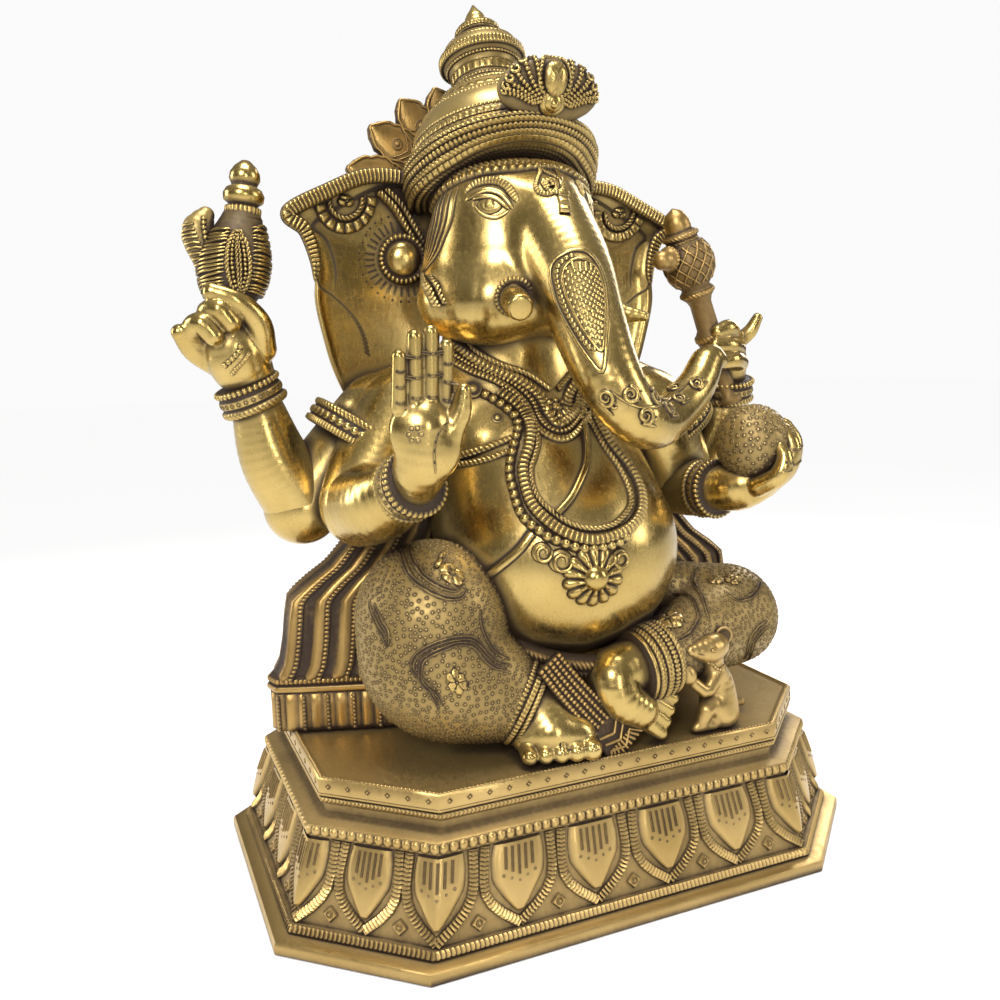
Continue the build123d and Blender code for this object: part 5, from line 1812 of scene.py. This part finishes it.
def make_conch():
    form = Form()
    form.limb(route("conch", [(-0.5, -3, -28.5), (2.5, 0, -12.5), (7.5, 2, 7.5)]), [9, 16, 10])
    casting = form.cast(Casting(), 1.1, patina=0.7)
    skin = Skin(casting)
    lean = np.array((0.19, 0.08, 0.98))
    for row in range(17):
        level = at("conch", 0, -2, -26.5) + lean * (row * 2.35)
        for hand in (-1, 1):
            swing = np.radians(np.linspace(22, 112, 8))[:, None]
            around = np.sin(swing) * (hand, 0, 0) - np.cos(swing) * (0, 1, 0)
            path, normals = skin.lay(level + 22 * around - lean * swing * 2.2, 0.0)
            band(casting, path, normals, 2.1, 1.7, across=7, taper=True)
    front = at("conch", 2.5, -20, -10.5)
    for reach, width, kind in ((6.4, 2.6, "rope"), (3.6, 2.2, "beads"), (0.9, 1.8, "rope")):
        tall = 13.5 + reach * 0.6
        loop = [front + (reach * math.sin(a), 0, -tall * math.cos(a)) + lean * (0.2 * math.cos(a), 0, 0)
                for a in whole_turn(18)]
        trace(casting, skin, loop, width, 1.9, kind, 2.0, True)
    lobe = Form().limb(route("conch", [(-4.5, -1, -22.5), (-9.5, 1, -8.5), (-12.5, 2, 3.5),
                                       (-8.5, 2, 11.5)]), [5, 6.5, 7.5, 4])
    lobe_casting = lobe.cast(Casting(), 1.1, patina=0.35)
    skin = Skin(lobe_casting)
    for row in range(12):
        level = at("conch", -6.5, 0, -19.5) + np.array((-0.35, 0, 1)) * (row * 2.5)
        line = [level + (-9, -2, -1), level + (-6, -8, 0), level + (-1, -10, 0)]
        path, normals = skin.lay(even(line, 1.5), 0.0)
        band(casting, path, normals, 1.5, 0.9, across=5)
    trace(casting, skin, route("conch", [(-1.5, -10, -20.5), (-6.5, -10, -8.5), (-9.5, -10, 3.5),
                                         (-9.5, -8, 11.5)]), 2.8, 1.6, "beads", 2.2)
    casting.add(np.concatenate(lobe_casting.points), lobe_casting.faces[0],
                np.concatenate(lobe_casting.patina))
    base, top = at("conch", 8.5, 2, 13.5), np.array((0.12, 0, 1))
    casting.lathe(base, top, [(9.5, -3), (8, -1), (6.6, 2), (7, 3.4), (9.2, 5), (9.6, 8), (8.2, 10.6),
                              (5.8, 12), (6.2, 13), (7.2, 15), (6.9, 18), (5, 21), (2, 23.6), (0.6, 24)],
                  [0.5, 0.8, 0.9, 0.6, 0, 0, 0, 0.7, 0.7, 0, 0, 0, 0, 0])
    casting.hoop(base, top, 7.6, 0.4, 4.4, 1.0, "hatch", 2.0)
    casting.piece("conch", figure_brass)


make_conch()

# ---- Axe ----------------------------------------------------------------------------
# Mace-headed axe in the rear left hand: turned shaft, cross-cut ball, side knob, small
# blade and a rounded cone on top.


def make_axe():
    casting = Casting()
    foot, top = at("axe", 28.5, 1.5, -54), at("axe", -14.5, -0.5, 55)
    up = unit(top - foot)
    length = np.linalg.norm(top - foot)
    outline = [
        (5, 0), (7.4, 1), (7.6, 4), (5.6, 6), (5.4, 20), (6.2, 34), (8.4, 40), (8.2, 44), (6.4, 47),
        (6.2, 62), (7.4, 65), (9.2, 67), (9.4, 70), (8.0, 72), (10.5, 75), (13.4, 80), (14.2, 86),
        (13.2, 92), (10, 97.4), (8.4, 99), (9.6, 100.4), (9.4, 103), (7.2, 104.4), (7.6, 106),
        (7.2, 110), (5, 114.6), (1.4, length - 0.6), (0.5, length),
    ]
    shade = [0.4] * 8 + [0.5] * 6 + [0.6, 0.6, 0.5, 0.5, 0.6, 0.9, 0.4, 0.4, 0.9] + [0.1] * 5
    casting.lathe(foot, up, outline, shade)
    for height, radius, width in ((68.6, 9.2, 3.0), (101.6, 9.5, 2.6), (98.6, 8.4, 2.0), (42, 8.2, 4.4)):
        casting.hoop(foot, up, radius, height, width, 1.0, "rope", 2.2)
    first = unit(np.cross(up, (0.0, 1.0, 0.0)))
    second = np.cross(up, first)
    for turn in range(12):
        for hand in (-1, 1):
            swing = turn * math.pi / 6 + hand * np.linspace(-0.7, 0.7, 10)[:, None]
            high = np.linspace(74.5, 96.5, 10)
            radius = np.interp(high, [72, 75, 80, 86, 92, 97.4], [8, 10.5, 13.4, 14.2, 13.2, 10])[:, None]
            out = first * np.cos(swing) + second * np.sin(swing)
            band(casting, foot + up * high[:, None] + out * radius, out, 1.5, 0.8, across=5)
    knob_way = (-12, -4, -2)
    side_knob = [(5, 2), (6.2, 5), (6.4, 9), (5.2, 10), (5.4, 12), (5.2, 15), (3.8, 17.4), (1.2, 18.8)]
    casting.lathe(at("axe", -11.5, -1.5, 28.5), knob_way, side_knob, 0.2, sides=28)
    casting.hoop(at("axe", -11.5, -1.5, 28.5), knob_way, 6.2, 7.4, 3.0, 0.9, "hatch", 2.0)
    rim = smooth_line(route("axe", [
        (-4.5, -0.5, 23), (4.5, -0.5, 15.5), (10.5, -0.5, 23), (9.5, -0.5, 34), (3.5, -0.5, 40),
        (-5.5, -0.5, 34),
    ]), 1.2, True)
    centre = rim.mean(axis=0)
    blade = ((0.05, 2), (0.8, 2), (0.97, 0.8), (0.97, -0.8), (0.8, -2), (0.05, -2))
    rows = [centre + (rim - centre) * share + (0, y, 0) for share, y in blade]
    casting.grid(np.stack(rows), 0.3, round_columns=True, capped=True)
    casting.piece("axe", dark_brass, slot="dark_brass")


make_axe()

# ---- Sweet --------------------------------------------------------------------------
# Ball-shaped sweet in the front left hand, covered with small punched rings.


def make_sweet():
    form = Form()
    form.egg(at("sweet", 0, 0, -0.5), (19.6, 19.6, 20.4))
    p, faces, normals = form.surface(1.6)
    casting = Casting()
    casting.add(p, faces, 0.45)
    centres, ups = scatter(p, normals, 3.3, punch_rng, np.full(len(p), True))
    knob(casting, centres, ups, 1.6, 0.5, sides=8, hollow=True)
    casting.piece("sweet", cloth_brass)


make_sweet()

# ---- Mouse --------------------------------------------------------------------------
# Small mouse sitting up on the deck by the left knee, a sweet in its paws.


def make_mouse():
    form = Form()
    form.limb(route("mouse", [(-1, -3.5, -19.5), (-2, -2.5, -5.5), (-6, -4.5, 6.5)]), [10.5, 9, 5.6])
    form.limb(route("mouse", [(-3, -3.5, 16.5), (-10, -5.5, 15.5), (-23, -8.5, 17.5)]), [6.4, 7.4, 2.6],
              soft=3)
    form.limb(route("mouse", [(-3, -4.5, -16.5), (-12, -8.5, -14.5), (-16, -8.5, -22.5)]), [7, 5, 3.6],
              soft=3)
    form.limb(route("mouse", [(-9, -8.5, -24), (-19, -8.5, -24.5)]), [3.4, 2.6], soft=2)
    form.limb(route("mouse", [(-5, -6.5, 2.5), (-14, -10.5, -4.5), (-21, -9.5, 0.5)]), [4.4, 3.4, 3.0],
              soft=2)
    form.egg(at("mouse", -25, -9.5, 5.5), (4.6, 4.4, 5.6), (0, -20, 0), soft=1)
    form.limb(route("mouse", [(3, 1.5, -23), (13, 9.5, -23), (22, 7.5, -22.5)]), [4.5, 3.2, 2], soft=2)
    casting = form.cast(Casting(), 1.0, floor=deck_high[2] + 0.1)
    skin = Skin(casting)
    ear = at("mouse", 1, -4.5, 21.5)
    casting.lathe(ear, (-0.5, -1, 0.3), [(3.2, -3), (4.6, -0.4), (4.4, 0.8), (3.2, 0.4), (2.4, -0.4),
                                         (0.6, -0.5)],
                  [0.3, 0, 0, 0.7, 0.9, 0.9], sides=24)
    trace(casting, skin, route("mouse", [(-17, -16.5, 15), (-21, -16.5, 16)]), 1.2, 0.3, "groove", across=7)
    eye = at("mouse", -10.5, -15.5, 18)
    medal(casting, skin, eye, (0, 0, 1), (1.6, 2.6), dome_relief(0.7), spokes=20)
    medal(casting, skin, eye, (0, 0, 1), (0.8, 0.8), dome_relief(1.1), spokes=12)
    trace(casting, skin, route("mouse", [(-14, -10.5, 8.5), (-8, -13.5, 6.5), (-1, -10.5, 7.5)]), 2.0, 1.0,
          "beads", 1.8)
    casting.piece("mouse", pedestal_brass, slot="pedestal_brass")


make_mouse()
